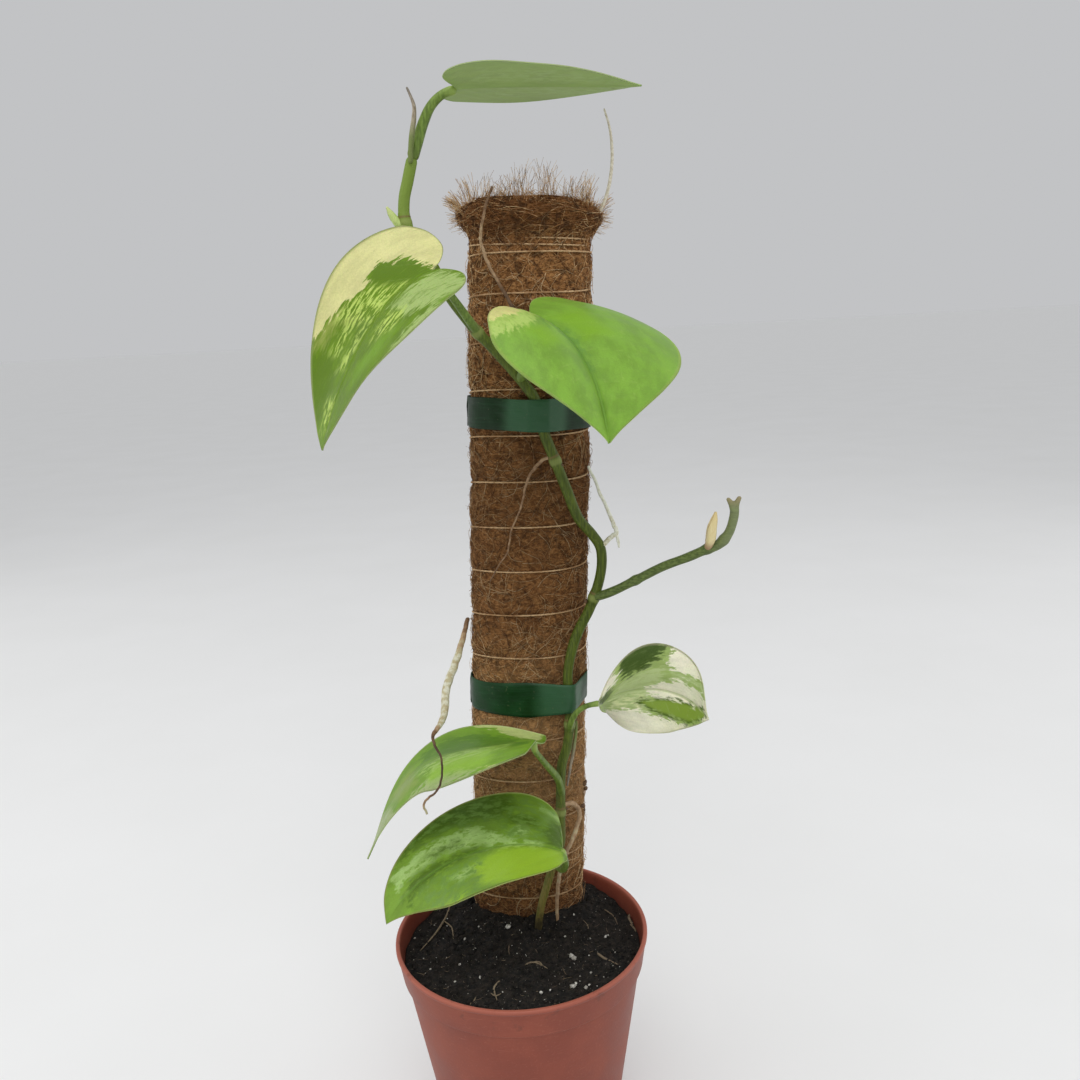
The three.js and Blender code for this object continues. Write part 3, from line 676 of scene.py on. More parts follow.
def tube(points, radii, gap=0.6, around=18, section=None, start=ANY_SIDE, blunt=(True, True)):
    """Points, faces and place along (0 to 1) of a tube with rounded ends.

    `section(along, angle, far)` may scale the radius: `far` is `along` in millimetres."""
    line = evenly(smooth(points), gap)
    far = distances(line)
    along = far / far[-1]
    radius = np.interp(along, np.linspace(0, 1, len(radii)), radii)
    for end, blunted in ((far, blunt[0]), (far[-1] - far, blunt[1])):
        if blunted:
            near = np.clip(end / radius, 0, 1)
            radius = radius * np.sqrt(np.clip(1 - (1 - near) ** 2, 0.02, 1))
    angle = all_round(around)
    reach = np.repeat(radius[:, None], around, axis=1)
    if section:
        reach = reach * section(along[:, None], angle[None], far[:, None])
    spots, faces = wrap(ringed(line, reach, start), line[0], line[-1])
    return spots, faces, np.r_[np.repeat(along, around), 0, 1]


def together(parts):
    """Joins (points, faces, ...) parts into one, with their per-point values."""
    spots, faces, values, count = [], [], [], 0
    for part in parts:
        spots.append(part[0])
        faces += [[corner + count for corner in face] for face in part[1]]
        values.append(part[2])
        count += len(part[0])
    return np.vstack(spots), faces, np.concatenate(values)


print("a short tube has", len(tube([(0, 0, 0), (0, 0, 9)], [1, 1])[0]), "points")

# %% Strands
def strands(paths, radii, outward):
    """Thin three-sided tubes along many paths (strands, points, 3) at once."""
    count, steps, _ = paths.shape
    tangent = unit(np.gradient(paths, axis=1))
    side = np.cross(tangent, outward)
    side /= np.linalg.norm(side, axis=2)[..., None] + 1e-9
    out = np.cross(side, tangent)
    angle = np.array([0.5, 7 / 6, 11 / 6]) * np.pi
    spots = (paths[:, :, None] + np.reshape(radii, (count, -1, 1, 1))
             * (np.cos(angle)[:, None] * side[:, :, None] + np.sin(angle)[:, None] * out[:, :, None]))
    at = np.arange(count * steps * 3).reshape(count, steps, 3)
    after = np.roll(at, -1, axis=2)
    faces = np.stack([at[:, :-1], at[:, 1:], after[:, 1:], after[:, :-1]], -1).reshape(-1, 4).tolist()
    faces += at[:, 0].tolist() + at[:, -1, ::-1].tolist()
    return spots.reshape(-1, 3), faces


print("tube helpers ready")

# %% [markdown]
# ## Twigs and root hairs in the soil
#
# A few wood slivers, beige fibres and a pale surface root lie on the peat. They are short tubes laid on
# the soil surface, so each one needs only a list of places and a thickness. Many tiny ones are scattered
# between them.

# %% Twigs
twig_finish, tree = new_finish("dry_twigs", 0.85)
where = place(tree)
tint = blend(tree, painted(tree, "pale"), rgb(70, 54, 42), rgb(136, 120, 96))
tint = over(tree, tint, (74, 58, 46), speckle(tree, where, 700.0, 4.0), 0.4, 0.7, 0, 0.5)
coat(tree, tint, (speckle(tree, where, 1200.0), 0.0002))

TWIGS = [  # radius, how pale, and places on the soil
    (0.55, 0.6, [(35.2, -9.9), (39, -13.5), (44.4, -18.2)]),
    (0.6, 0.7, [(54, 21.4), (53, 16), (54.3, 11)]),
    (0.45, 0.5, [(53, 12), (55, 9.6), (55.3, 6.8)]),
    (0.35, 0.9, [(1.2, -15.3), (3.4, -13.2), (6.3, -13.5), (9, -16.2), (11.9, -17.6)]),
    (0.3, 0.9, [(5.6, -12.4), (8.6, -14.6), (9.4, -18)]),
    (0.4, 0.9, [(-10.3, -24.4), (-12.8, -29.8), (-11.2, -38.1)]),
    (0.3, 0.9, [(-14.6, -33.5), (-11.9, -35.3), (-9.1, -33.4)]),
    (0.35, 0.8, [(-23.2, -39.8), (-21.6, -37.4), (-20.8, -34.7)]),
    (0.3, 0.15, [(-6.5, -0.3), (-6.6, -4.4), (-5.9, -8.9)]),
    (0.45, 0.9, [(-37, 34.9), (-38.7, 23.4), (-43, 13.5), (-49.7, 1.4)]),
    (0.35, 0.8, [(-39.4, 21), (-35.2, 14.8), (-33.8, 7)]),
    (0.3, 0.5, [(14, -42), (19, -44.5), (25.4, -43.8)]),
    (0.3, 0.4, [(41, 22), (45.4, 18.2), (47, 12.6)]),
    (0.35, 0.5, [(-18, 47), (-24.6, 43.4), (-28, 37)]),
    (0.3, 0.7, [(16, 51), (22, 49.3), (27.3, 50.2)]),
]
SLIVERS = 95
rng = np.random.default_rng(31)
parts = []
for radius, pale, places in TWIGS:
    x, y = np.array(places, float).T
    lying = on_soil(x, y, -0.7 * radius)
    spots, faces, _ = tube(lying, [radius, radius * 1.1, radius * 0.5], 0.8, 8)
    parts.append((spots + rng.normal(0, 0.04, spots.shape), faces, np.full(len(spots), pale)))
for x, y in zip(*scattered(rng, SLIVERS)):
    heading, length = rng.uniform(0, 2 * np.pi), rng.uniform(1.5, 6)
    bend = rng.uniform(-1, 1)
    steps = np.linspace(-0.5, 0.5, 4) * length
    px, py = x + steps * math.cos(heading) - bend * steps**2 * 0.12, y + steps * math.sin(heading)
    if np.hypot(px, py).max() < SOIL_EDGE - 1 and outside_pole(px, py).all():
        radius = rng.uniform(0.08, 0.2)
        spots, faces, _ = tube(on_soil(px, py, -radius), [radius, radius * 0.7], 0.9, 5)
        parts.append((spots, faces, np.full(len(spots), rng.uniform(0, 0.9))))
spots, faces, pale = together(parts)
twigs = piece("soil_twigs", spots, faces, twig_finish)
paint(twigs, "pale", pale)

# %% [markdown]
# ## The coir pole
#
# A coir pole is a wooden lath in a thick sleeve of pressed coconut fibre. It leans a little, so all its
# parts are made upright in the pole's own frame, and `in_pole` then leans them and stands them in the pot.
# The lath keeps its CAD shape: only its top shows, down inside the frayed collar. It gets a wood finish.

# %% Pole frame and lath
POLE_LEAN = math.radians(3.2)
SLEEVE_TOP, SLEEVE_BOTTOM = 349.0, -8.0


def in_pole(spots):
    """Points of the pole's own frame, leaned and stood in the pot."""
    x, y, z = np.moveaxis(np.asarray(spots, float), -1, 0)
    c, s = math.cos(POLE_LEAN), math.sin(POLE_LEAN)
    return np.stack([x * c + z * s, y, z * c - x * s], -1) + POLE_FOOT


def from_pole(spots):
    """Points of the plant seen in the pole's own frame."""
    x, y, z = np.moveaxis(np.asarray(spots, float) - POLE_FOOT, -1, 0)
    c, s = math.cos(POLE_LEAN), math.sin(POLE_LEAN)
    return np.stack([x * c - z * s, y, z * c + x * s], -1)


lath_finish, tree = new_finish("lath_wood", 0.75)
where = place(tree)
rings = streaked(tree, where, 260, 260, 9, 5.0, 0.6)
tint = over(tree, rgb(146, 112, 74), (186, 152, 106), rings, 0.35, 0.65)
pores = streaked(tree, where, 900, 900, 40)
tint = over(tree, tint, (112, 82, 52), pores, 0.55, 0.7, 0, 0.6)
coat(tree, tint, (rings, 0.0004))
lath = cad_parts["pole_lath"]
lath.data.materials.clear()
lath.data.materials.append(lath_finish)

# %% [markdown]
# ### Where the cord presses
#
# A thin cord winds up the sleeve and holds it together. The coir bulges between its turns and dips under
# them, so the sleeve has to know where the cord runs. The cord climbs evenly, a little slower over the
# pole's front, then ends in three close turns that pinch the sleeve under its collar.

# %% Cord path
CORD_PITCH, CORD_FIRST, CORD_LAST = 20.9, 14.0, 307.0
CORD_START, CORD_DENT = -0.3, 2.3  # the turn it starts at, and the half width of its dent in the coir
PINCH, CLOSE_PITCH, CLOSE_TURNS = 328.0, 2.6, 3
FRONT_SLOWING = 0.75 / (2 * np.pi)
SPACED_TURNS = (CORD_LAST - CORD_FIRST) / CORD_PITCH
PINCH_START = PINCH - CLOSE_PITCH * CLOSE_TURNS / 2
CORD_TURNS = SPACED_TURNS + 1 + CLOSE_TURNS


def cord_height(turn_number):
    """The cord's height on the pole after a number of turns."""
    past = turn_number - SPACED_TURNS
    spaced = CORD_FIRST + CORD_PITCH * turn_number
    rising = CORD_LAST + (PINCH_START - CORD_LAST) * past
    return np.where(past < 0, spaced, np.where(past < 1, rising, PINCH_START + CLOSE_PITCH * (past - 1)))


def under_cord(angle, z):
    """1 right under the cord, falling to 0 between its turns."""
    nearest = np.full(np.broadcast(angle, z).shape, np.inf)
    for loop in range(-1, int(SPACED_TURNS) + CLOSE_TURNS + 3):
        turns = (np.mod(angle + np.pi / 2, 2 * np.pi)) / (2 * np.pi) + loop
        wound = (turns > CORD_START - 0.05) & (turns < CORD_TURNS)
        away = np.abs(z - cord_height(turns - FRONT_SLOWING * np.cos(angle)))
        nearest = np.where(wound, np.minimum(nearest, away), nearest)
    return np.exp(-(nearest / CORD_DENT) ** 2)


print("cord turns", round(CORD_TURNS, 1))

# %% [markdown]
# ### The sleeve's body
#
# Under the loose fibres lies a dense body: a flattened tube with bulges between the cord's turns, lumps
# where the coir is thicker, and a flared collar that is dished at the top. Under the two tape bands it is
# pressed flat. It is the shadowed layer that shows between fibres, so it is darker than they are.

# %% Sleeve body
def flare(z):
    """How far the collar stands out at a height."""
    return np.interp(z, [329.5, 334, 339, 343, 346.5, 349], [0, 1.7, 3.7, 4.3, 3.8, 2.8])


def lumpy(a, b, seed, scale):
    """A gentle unevenness over two coordinates, from -1 to 1."""
    rng = np.random.default_rng(seed)
    value = 0
    for _ in range(9):
        heading, size, shift = rng.uniform(0, np.pi), rng.uniform(0.6, 1.7), rng.uniform(0, 6.3)
        value = value + np.sin((a * math.cos(heading) + b * math.sin(heading)) * size / scale + shift)
    return value / 5


UPPER_TAPE, LOWER_TAPE = (246.5, 261.0), (110.5, 128.0)


def under_tape(z):
    """1 where a tape band presses the sleeve flat, and 0 elsewhere."""
    upper, lower = (np.clip((z - low + 1) / 2, 0, 1) * np.clip((high + 1 - z) / 2, 0, 1)
                    for low, high in (UPPER_TAPE, LOWER_TAPE))
    return np.maximum(upper, lower)


MEAN_RADIUS = 22  # turns an angle into millimetres round the sleeve


def sleeve_offset(angle, z):
    """How far the sleeve's body stands off its plain oval."""
    press = under_cord(angle, z)
    around = angle * MEAN_RADIUS
    bulge = 0.35 * (1 - press) - 0.55 * press
    free = bulge + flare(z) + 0.4 * lumpy(around, z, 5, 7.0) + 0.28 * lumpy(around, z, 6, 1.1) - 0.3
    return free + (np.minimum(free, 0) - 0.3 - free) * under_tape(z)


def on_sleeve(angle, z, height=0.0):
    """Points of the pole's frame, `height` above the sleeve's body."""
    out = sleeve_offset(angle, z) + height * (1 - 0.75 * under_tape(z))
    in_collar = np.clip((z - 332) / 17, 0, 1) ** 1.5
    droop = (2.2 + 5.0 * np.cos(angle) ** 4 + 0.7 * lumpy(angle * 20, 0, 46, 3.0)) * in_collar
    return np.stack([(SLEEVE_HALF_WIDTH + out) * np.cos(angle), (SLEEVE_HALF_DEPTH + out) * np.sin(angle),
                     z - droop], -1)


SLEEVE_ROWS, SLEEVE_SIDES = 300, 124
z = np.linspace(SLEEVE_BOTTOM, SLEEVE_TOP - 1, SLEEVE_ROWS)[:, None]
angle = all_round(SLEEVE_SIDES)[None]
body = on_sleeve(angle, z)
dish = []
for share, drop in ((0.93, 0.3), (0.8, 2.5), (0.66, 5.5), (0.45, 7.5), (0.2, 8.2)):
    ring = body[-1] * np.array([share, share, 1])
    dish.append(ring - np.array([0, 0, 1]) * (drop + 0.5 * lumpy(angle[0] * 15, share * 60, 8, 3)[:, None]))
body = np.concatenate([body, np.array(dish)])
spots, faces = wrap(body, (0, 0, SLEEVE_BOTTOM), (0, 0, SLEEVE_TOP - 9.4))
print("sleeve body rings", len(body))

# %% [markdown]
# ### Coir colours
#
# Coconut fibre runs from dark brown to straw. Each strand gets a number of its own with `paint`, and the
# material turns it into a colour, so that neighbours differ as real ones do. Dark gaps a few millimetres
# wide break that up: they are painted shadow between clumps. Along the pole the tone drifts: browner at
# the collar, darker round the middle with a painted shadow of the upper leaves, paler low down with
# painted light, and dark at the foot, where the coir is damp and stained with soil.

# %% Coir finishes
def coir_tint(tree, where, shade):
    """The colour of coir from how pale a strand is and where it sits, with painted shadow and light laid on."""
    tint = ramped(tree, shade, (0.0, (74, 44, 22)), (0.3, (146, 102, 60)), (0.6, (182, 138, 90)),
                  (0.85, (208, 174, 128)), (1.0, (216, 188, 148)))
    height = height_of(tree, where)
    patches = speckle(tree, where, 45.0, 3.0)
    gap_shadows = streaked(tree, where, 300, 300, 380, 3.0, 0.6)
    collar = product(tree, between(tree, height, 0.424, 0.434), between(tree, shade, 0.55, 0.9, 0.5, 0.08))
    tint = blend(tree, collar, tint, rgb(116, 70, 30))
    tint = over(tree, tint, (108, 72, 42), patches, 0.45, 0.7, 0, 0.3)
    # Painted shadow in the gaps between clumps of fibre.
    tint = over(tree, tint, (58, 34, 16), gap_shadows, 0.5, 0.62, 0, 0.62)
    # Painted shadow of the upper leaves: darker coir round the pole's middle.
    middle = product(tree, between(tree, height, 0.18, 0.3, 0, 0.46), between(tree, height, 0.31, 0.39, 1, 0))
    tint = blend(tree, middle, tint, rgb(84, 52, 24))
    # Painted light: paler coir low down.
    low = product(tree, between(tree, height, 0.11, 0.14, 0, 0.28), between(tree, height, 0.18, 0.26, 1, 0))
    tint = blend(tree, low, tint, rgb(196, 160, 110))
    damp = total(tree, height, product(tree, patches, 0.035))
    return over(tree, tint, (64, 36, 26), damp, 0.110, 0.132, 0.72, 0)


coir_body_finish, tree = new_finish("coir_body", 0.95, Specular_IOR_Level=0.15)
where = place(tree)
felt = streaked(tree, where, 700, 700, 1300, 5.0, 0.7)
coat(tree, coir_tint(tree, where, between(tree, felt, 0.3, 0.75, 0, 0.62)), (felt, 0.0008))

coir_finish, tree = new_finish("coir_fibre", 0.8, Specular_IOR_Level=0.25)
where = place(tree)
mottle = speckle(tree, where, 900.0, 2.0)
shade = total(tree, painted(tree, "shade"), between(tree, mottle, 0.3, 0.7, -0.12, 0.12))
coat(tree, coir_tint(tree, where, shade), (mottle, 0.0001))

piece("coir_body", in_pole(spots), faces, coir_body_finish, ["coir_sleeve"])

# %% [markdown]
# ### Thousands of fibres
#
# Pressed coir is a felt of stiff, curved fibres in every direction. Hair particles could scatter them, but
# they don't survive an export, so each fibre is a real thin tube. All of them take their steps at once:
# every fibre has a heading that drifts as it goes, which lays it down in a loose swirl on the oval sleeve.

# %% Fibre paths
def swirls(rng, count, steps, length, low, high, lift, spread=1.0):
    """Curved paths on the sleeve, and the outward direction at each point."""
    angle = rng.uniform(0, 2 * np.pi, count)
    z = rng.uniform(low, high, count)
    heading = rng.uniform(0, 2 * np.pi, count)
    if spread < 1:
        heading = rng.choice([0, np.pi], count) + rng.normal(0, spread, count)
    drift = rng.normal(0, 0.22, count)
    step = rng.uniform(*length, count) / steps
    base, wave, phase = rng.uniform(*lift, count), rng.uniform(0.0, 0.4, count), rng.uniform(0, 6.3, count)
    paths, ways = [], []
    for i in range(steps):
        height = base + wave * np.sin(phase + i * 0.9)
        paths.append(on_sleeve(angle, z, height))
        way = np.stack([np.cos(angle) * SLEEVE_HALF_DEPTH, np.sin(angle) * SLEEVE_HALF_WIDTH, 0 * angle], -1)
        ways.append(unit(way))
        speed = np.hypot(SLEEVE_HALF_WIDTH * np.sin(angle), SLEEVE_HALF_DEPTH * np.cos(angle))
        angle = angle + step * np.cos(heading) / speed
        z = np.clip(z + step * np.sin(heading), SLEEVE_BOTTOM + 2, SLEEVE_TOP - 1)
        heading = heading + drift + rng.normal(0, 0.2, count)
    return np.stack(paths, 1), np.stack(ways, 1)


def fibres(name, paths, ways, radii, shade):
    """A piece of many fibres, each with its own shade."""
    spots, faces = strands(paths, radii, ways)
    made = piece(name, in_pole(spots), faces, coir_finish)
    paint(made, "shade", np.repeat(shade, len(spots) // len(shade)))

# %% Sleeve fibres
FIBRES, LOOSE_FIBRES = 3400, 420
rng = np.random.default_rng(41)
for number in (1, 2):
    paths, ways = swirls(rng, FIBRES, 6, (8, 21), SLEEVE_BOTTOM + 6, 334, (0.0, 0.6))
    shade = np.clip(rng.beta(1.3, 1.5, FIBRES) * 1.1, 0, 1)
    fibres(f"coir_fibres_{number}", paths, ways, rng.uniform(0.08, 0.18, FIBRES), shade)
paths, ways = swirls(rng, LOOSE_FIBRES, 8, (10, 24), 8, 334, (0.9, 1.7))
fibres("coir_fibres_loose", paths, ways, rng.uniform(0.07, 0.13, LOOSE_FIBRES),
       rng.uniform(0.35, 0.95, LOOSE_FIBRES))

# %% [markdown]
# ### The frayed collar
#
# Above the last turns of cord the sleeve flares, and its cut end frays. Most fibres there run round the
# pole in sheaves. Others stand up along the rim in tufts of different heights, and a few stick out
# sideways. The tufts are longer at a handful of angles, as in the picture.

# %% Collar sheaves
SHEAF_FIBRES = 900
rng = np.random.default_rng(43)
paths, ways = swirls(rng, SHEAF_FIBRES, 7, (12, 30), 331, 348, (0.0, 0.9), spread=0.22)
shade = rng.beta(1.8, 3.4, SHEAF_FIBRES)
fibres("collar_sheaves", paths, ways, rng.uniform(0.09, 0.2, SHEAF_FIBRES), shade)

# %% Collar fray and tufts
FRAY_FIBRES, TUFT_FIBRES = 1500, 40


def tufts(rng, count, reach, out, start, stray, steps=5):
    """Fibres that leave the sleeve at given angles and heights and bend away."""
    angle, z = start
    up = np.linspace(0, 1, steps)[None]
    rise, lean = rng.uniform(*reach, count)[:, None], rng.uniform(*out, count)[:, None]
    sway, curl = rng.normal(0, stray, count)[:, None], rng.normal(0, stray, count)[:, None]
    foot = on_sleeve(angle, z, -0.3)
    way = np.stack([np.cos(angle), np.sin(angle) * 1.2, 0 * angle], -1)
    along = np.stack([-np.sin(angle), np.cos(angle), 0 * angle], -1)
    path = (foot[:, None] + (way[:, None] * (lean * up ** 1.6)[..., None])
            + along[:, None] * (sway * up + curl * up ** 2.5)[..., None])
    path[..., 2] += rise * (up - 0.12 * up ** 2)
    return path, np.repeat(way[:, None], steps, axis=1)


angle = rng.uniform(0, 2 * np.pi, FRAY_FIBRES)
height = 2.2 + 2.2 * lumpy(angle * 20, 0, 44, 2.6) + 1.8 * lumpy(angle * 20, 0, 45, 7.0)
path, ways = tufts(rng, FRAY_FIBRES, (0.4, 1.0), (-2.5, 1.8), (angle, rng.uniform(343, 348.5, FRAY_FIBRES)), 1.4)
path[..., 2] = path[:, :1, 2] + (path[..., 2] - path[:, :1, 2]) * np.clip(height, 1.5, 9)[:, None]
fibres("collar_fray", path, ways, rng.uniform(0.06, 0.13, FRAY_FIBRES), 0.3 + 0.8 * rng.beta(2, 2.2, FRAY_FIBRES))

TUFTS = [  # angle round the pole in degrees, height and lean of each long tuft
    (-128, 13, -2), (-112, 10, 1), (-98, 17, -1), (-76, 20, 1), (-55, 11, 2), (-40, 15, 2), (-150, 14, 3),
    (10, 10, 5), (35, 13, 0), (62, 11, -2), (88, 14, 1), (118, 12, -1), (145, 10, 2), (170, 11, 5), (-170, 8, 7),
]
made = []
for turn_angle, tall, lean in TUFTS:
    angle = np.radians(turn_angle + rng.normal(0, 5.5, TUFT_FIBRES))
    z = rng.uniform(344, 348.5, TUFT_FIBRES)
    made.append(tufts(rng, TUFT_FIBRES, (tall * 0.45, tall), (lean - 2, lean + 2), (angle, z), 2.0))
path, ways = (np.concatenate(both) for both in zip(*made))
fibres("collar_tufts", path, ways, rng.uniform(0.05, 0.1, len(path)), rng.uniform(0.6, 1.1, len(path)))

# %% [markdown]
# ### Stray hairs
#
# A coir pole looks soft at its outline because short hairs stand off it everywhere, most of all at the
# collar's two sides. Those that would pierce a tape band are left out. One long pale hair has come loose
# at the collar's right and curves up to the top leaf.

# %% Stray hairs
HAIRS, COLLAR_HAIRS = 1500, 260
rng = np.random.default_rng(47)
angle, z = rng.uniform(0, 2 * np.pi, HAIRS), rng.uniform(4, 334, HAIRS)
path, ways = tufts(rng, HAIRS, (-3.0, 3.5), (0.6, 2.6), (angle, z), 2.0, 4)
clear = (under_tape(path[..., 2]) == 0).all(1)
path, ways, count = path[clear], ways[clear], clear.sum()
fibres("stray_hairs", path, ways, rng.uniform(0.04, 0.08, count), rng.uniform(0.3, 1.0, count))
count = COLLAR_HAIRS
angle = np.where(rng.uniform(0, 1, count) < 0.5, 0, np.pi) + rng.normal(0, 0.35, count)
path, ways = tufts(rng, count, (-4, 7), (1.5, 6.5), (angle, rng.uniform(333, 347, count)), 2.2)
fibres("collar_hairs", path, ways, rng.uniform(0.04, 0.09, count), rng.uniform(0.55, 1.1, count))

spots, faces, along = tube(
    [(38, 31, 424), (46, 31, 428.5), (52, 30, 434.6), (56.6, 28, 444.5), (58.7, 26, 456.5), (58.1, 24, 468.3),
     (55.7, 22, 476.8)], [0.4, 0.7, 0.75, 0.65, 0.4], 0.7, 8)
strand_finish, tree = new_finish("pale_strand", 0.8)
grain = speckle(tree, place(tree), 900.0, 4.0)
tint = over(tree, rgb(186, 176, 154), (214, 208, 192), grain, 0.3, 0.7)
coat(tree, tint, (grain, 0.0002))
piece("loose_fibre", spots, faces, strand_finish)

# %% [markdown]
# ## The winding cord
#
# The cord is a thin two-ply string. Its section has two lobes, and the section turns as it goes along,
# which draws the twist of the plies in real geometry. It lies half sunk in the coir, so fibres cross over
# it here and there, and its close turns under the collar are almost buried.

# %% Winding cord
CORD_RADIUS, TWIST = 0.45, 2.8
CORD_SIDES, CORD_STEPS = 8, 110
turns = np.linspace(CORD_START, CORD_TURNS, int((CORD_TURNS - CORD_START) * CORD_STEPS))
angle = 2 * np.pi * turns - np.pi / 2
z = cord_height(turns - FRONT_SLOWING * np.cos(angle))
buried = np.clip((z - CORD_LAST - 18) / 3, 0, 1)
rest = 0.28 * lumpy(turns * 30, 0, 9, 4.0) - buried * (1.0 + 0.4 * lumpy(turns * 30, 5, 12, 5.0))
line = np.stack([(SLEEVE_HALF_WIDTH + rest) * np.cos(angle), (SLEEVE_HALF_DEPTH + rest) * np.sin(angle),
                 z + 0.35 * lumpy(turns * 40, 3, 10, 6.0)], -1)
far = distances(line)
lobes = 0.78 + 0.3 * np.cos(all_round(CORD_SIDES)[None] * 2 - 2 * np.pi * far[:, None] / TWIST)
spots, faces = wrap(ringed(line, CORD_RADIUS * lobes, (0, 0, 1)), line[0], line[-1])

cord_finish, tree = new_finish("pale_cord", 0.85, Specular_IOR_Level=0.2)
where = place(tree)
fuzz = speckle(tree, where, 1500.0, 3.0)
stained = between(tree, speckle(tree, where, 60.0, 3.0), 0.45, 0.65, 0, 0.75)
tint = over(tree, rgb(164, 130, 94), (202, 172, 132), fuzz, 0.3, 0.7)
tint = blend(tree, stained, tint, rgb(138, 100, 64))
coat(tree, tint, (fuzz, 0.0002))
piece("winding_string", in_pole(spots), faces, cord_finish, ["winding_cord"])

# %% [markdown]
# ## The vine's path
#
# The main stem rises from the soil up the front of the pole, swings out to the right, comes back over the
# pole and leaves it at the upper left. It is given as a list of points on its centre line, taken from the
# CAD model. Both tape bands need to know where it passes, so its path comes before them.

# %% Stem path
STEM = [
    (6.5, 8.5, 82), (7.6, 8, 99), (9.8, 8, 112.5), (13.3, 9, 123.5), (16.7, 10, 133.5), (21, 12, 144),
    (21.7, 13.5, 159), (23.6, 14.5, 183.5), (26.4, 15, 192), (28.7, 16.3, 208.5), (28.6, 16, 227.5),
    (31.6, 17.5, 241), (35.4, 19, 249.5), (40.5, 20, 258.5), (45.7, 20, 273), (47, 20, 282), (46.3, 20, 288),
    (42.8, 19, 294), (37, 17, 302), (32.2, 15, 315.5), (27.5, 14, 329.5), (22.8, 13.3, 343.5), (20, 13, 357),
    (16, 13, 363.5), (8, 13, 374), (1.8, 12, 381.5), (-3, 10, 387), (-9.2, 8.5, 395.6), (-13.9, 9, 402.7),
    (-21.2, 9.3, 417.3), (-26.8, 9.3, 426.4), (-30.3, 9.3, 433.4), (-30.1, 9.3, 442.5), (-27.8, 9.3, 450.6),
    (-25.1, 9.3, 459.8),
]
STEM_RADII = [1.9, 2.1, 2.4, 2.5, 2.5, 2.5, 2.5, 2.5, 2.5, 2.6]
STEM_GAP = 0.6
STEM_NODES = [
    (21.7, 13.5, 159), (28.1, 16.2, 203), (43, 20, 263.5), (27.5, 14, 329.5), (-3, 10, 387), (-30.4, 9.3, 433.4),
]
stem_line = evenly(smooth(STEM), STEM_GAP)
print("stem length", round(distances(stem_line)[-1]), "mm")

# %% [markdown]
# ## The tape bands
#
# Two bands of soft green plant tape hold the vine to the pole. Tape under tension follows the outermost
# things it goes round and runs straight between them, which is exactly a convex hull. The strip goes round
# a little more than once, so that its end lies over its start. Small ripples and wavy edges make it read
# as thin plastic. Where it spans free air between pole and stem, light passes and it looks paler. The
# upper band is in the shade of a leaf and darker.

# %% Tape finish
tape_finish, tree = new_finish("green_plant_tape", 0.4, Specular_IOR_Level=0.2)
where = place(tree)
smudge = speckle(tree, where, 90.0, 4.0)
tint = over(tree, rgb(12, 46, 16), (19, 60, 26), smudge, 0.35, 0.65)
shaded = between(tree, height_of(tree, where), 0.28, 0.33, 0, 0.6)
tint = blend(tree, shaded, tint, rgb(6, 26, 5))
tint = over(tree, tint, (62, 102, 72), painted(tree, "free"), 0.2, 1, 0, 0.55)
streaks = streaked(tree, where, 60, 60, 1500, 3.0)
tint = over(tree, tint, (50, 92, 64), streaks, 0.5, 0.72, 0, 0.16)
dirt = speckle(tree, where, 800.0, 2.0)
tint = over(tree, tint, (100, 104, 76), dirt, 0.66, 0.74, 0, 0.3)
dullness = between(tree, smudge, 0.3, 0.7, 0.32, 0.5)
coat(tree, tint, (streaks, 0.00012), (smudge, 0.0003), roughness=dullness)
print("finish", tape_finish.name)

# %% Tape outline
TAPE_CLEAR = 0.95
STEM_IN_TAPE = 2.75  # the stem's radius, with room for its ridges


def tape_outline(low, high):
    """The closed way of a tight strip round the pole and the stem, in the pole's frame."""
    local = from_pole(stem_line)
    near = local[(local[:, 2] > low - 3) & (local[:, 2] < high + 3)]
    ring = all_round(72)
    circle = np.stack([np.cos(ring), np.sin(ring)], -1)
    pole = circle * (SLEEVE_HALF_WIDTH + TAPE_CLEAR, SLEEVE_HALF_DEPTH + TAPE_CLEAR)
    stems = (near[:, None, :2] + STEM_IN_TAPE * circle[None]).reshape(-1, 2)
    spots = np.vstack([pole, stems])
    outline = spots[convex_hull_2d(spots.tolist())]
    start = np.argmin(np.hypot(outline[:, 0] + 16, outline[:, 1] - 20))
    outline = np.roll(outline, -start, axis=0)
    return np.vstack([outline, outline[:1]])


print("the upper tape goes", round(distances(tape_outline(*UPPER_TAPE))[-1]), "mm round")

# %% Tape strips
TAPE, TAPE_OVERLAP, TAPE_ROUND = 0.28, 0.14, 140
TAPE_STEPS, TAPE_ROWS = 330, 12


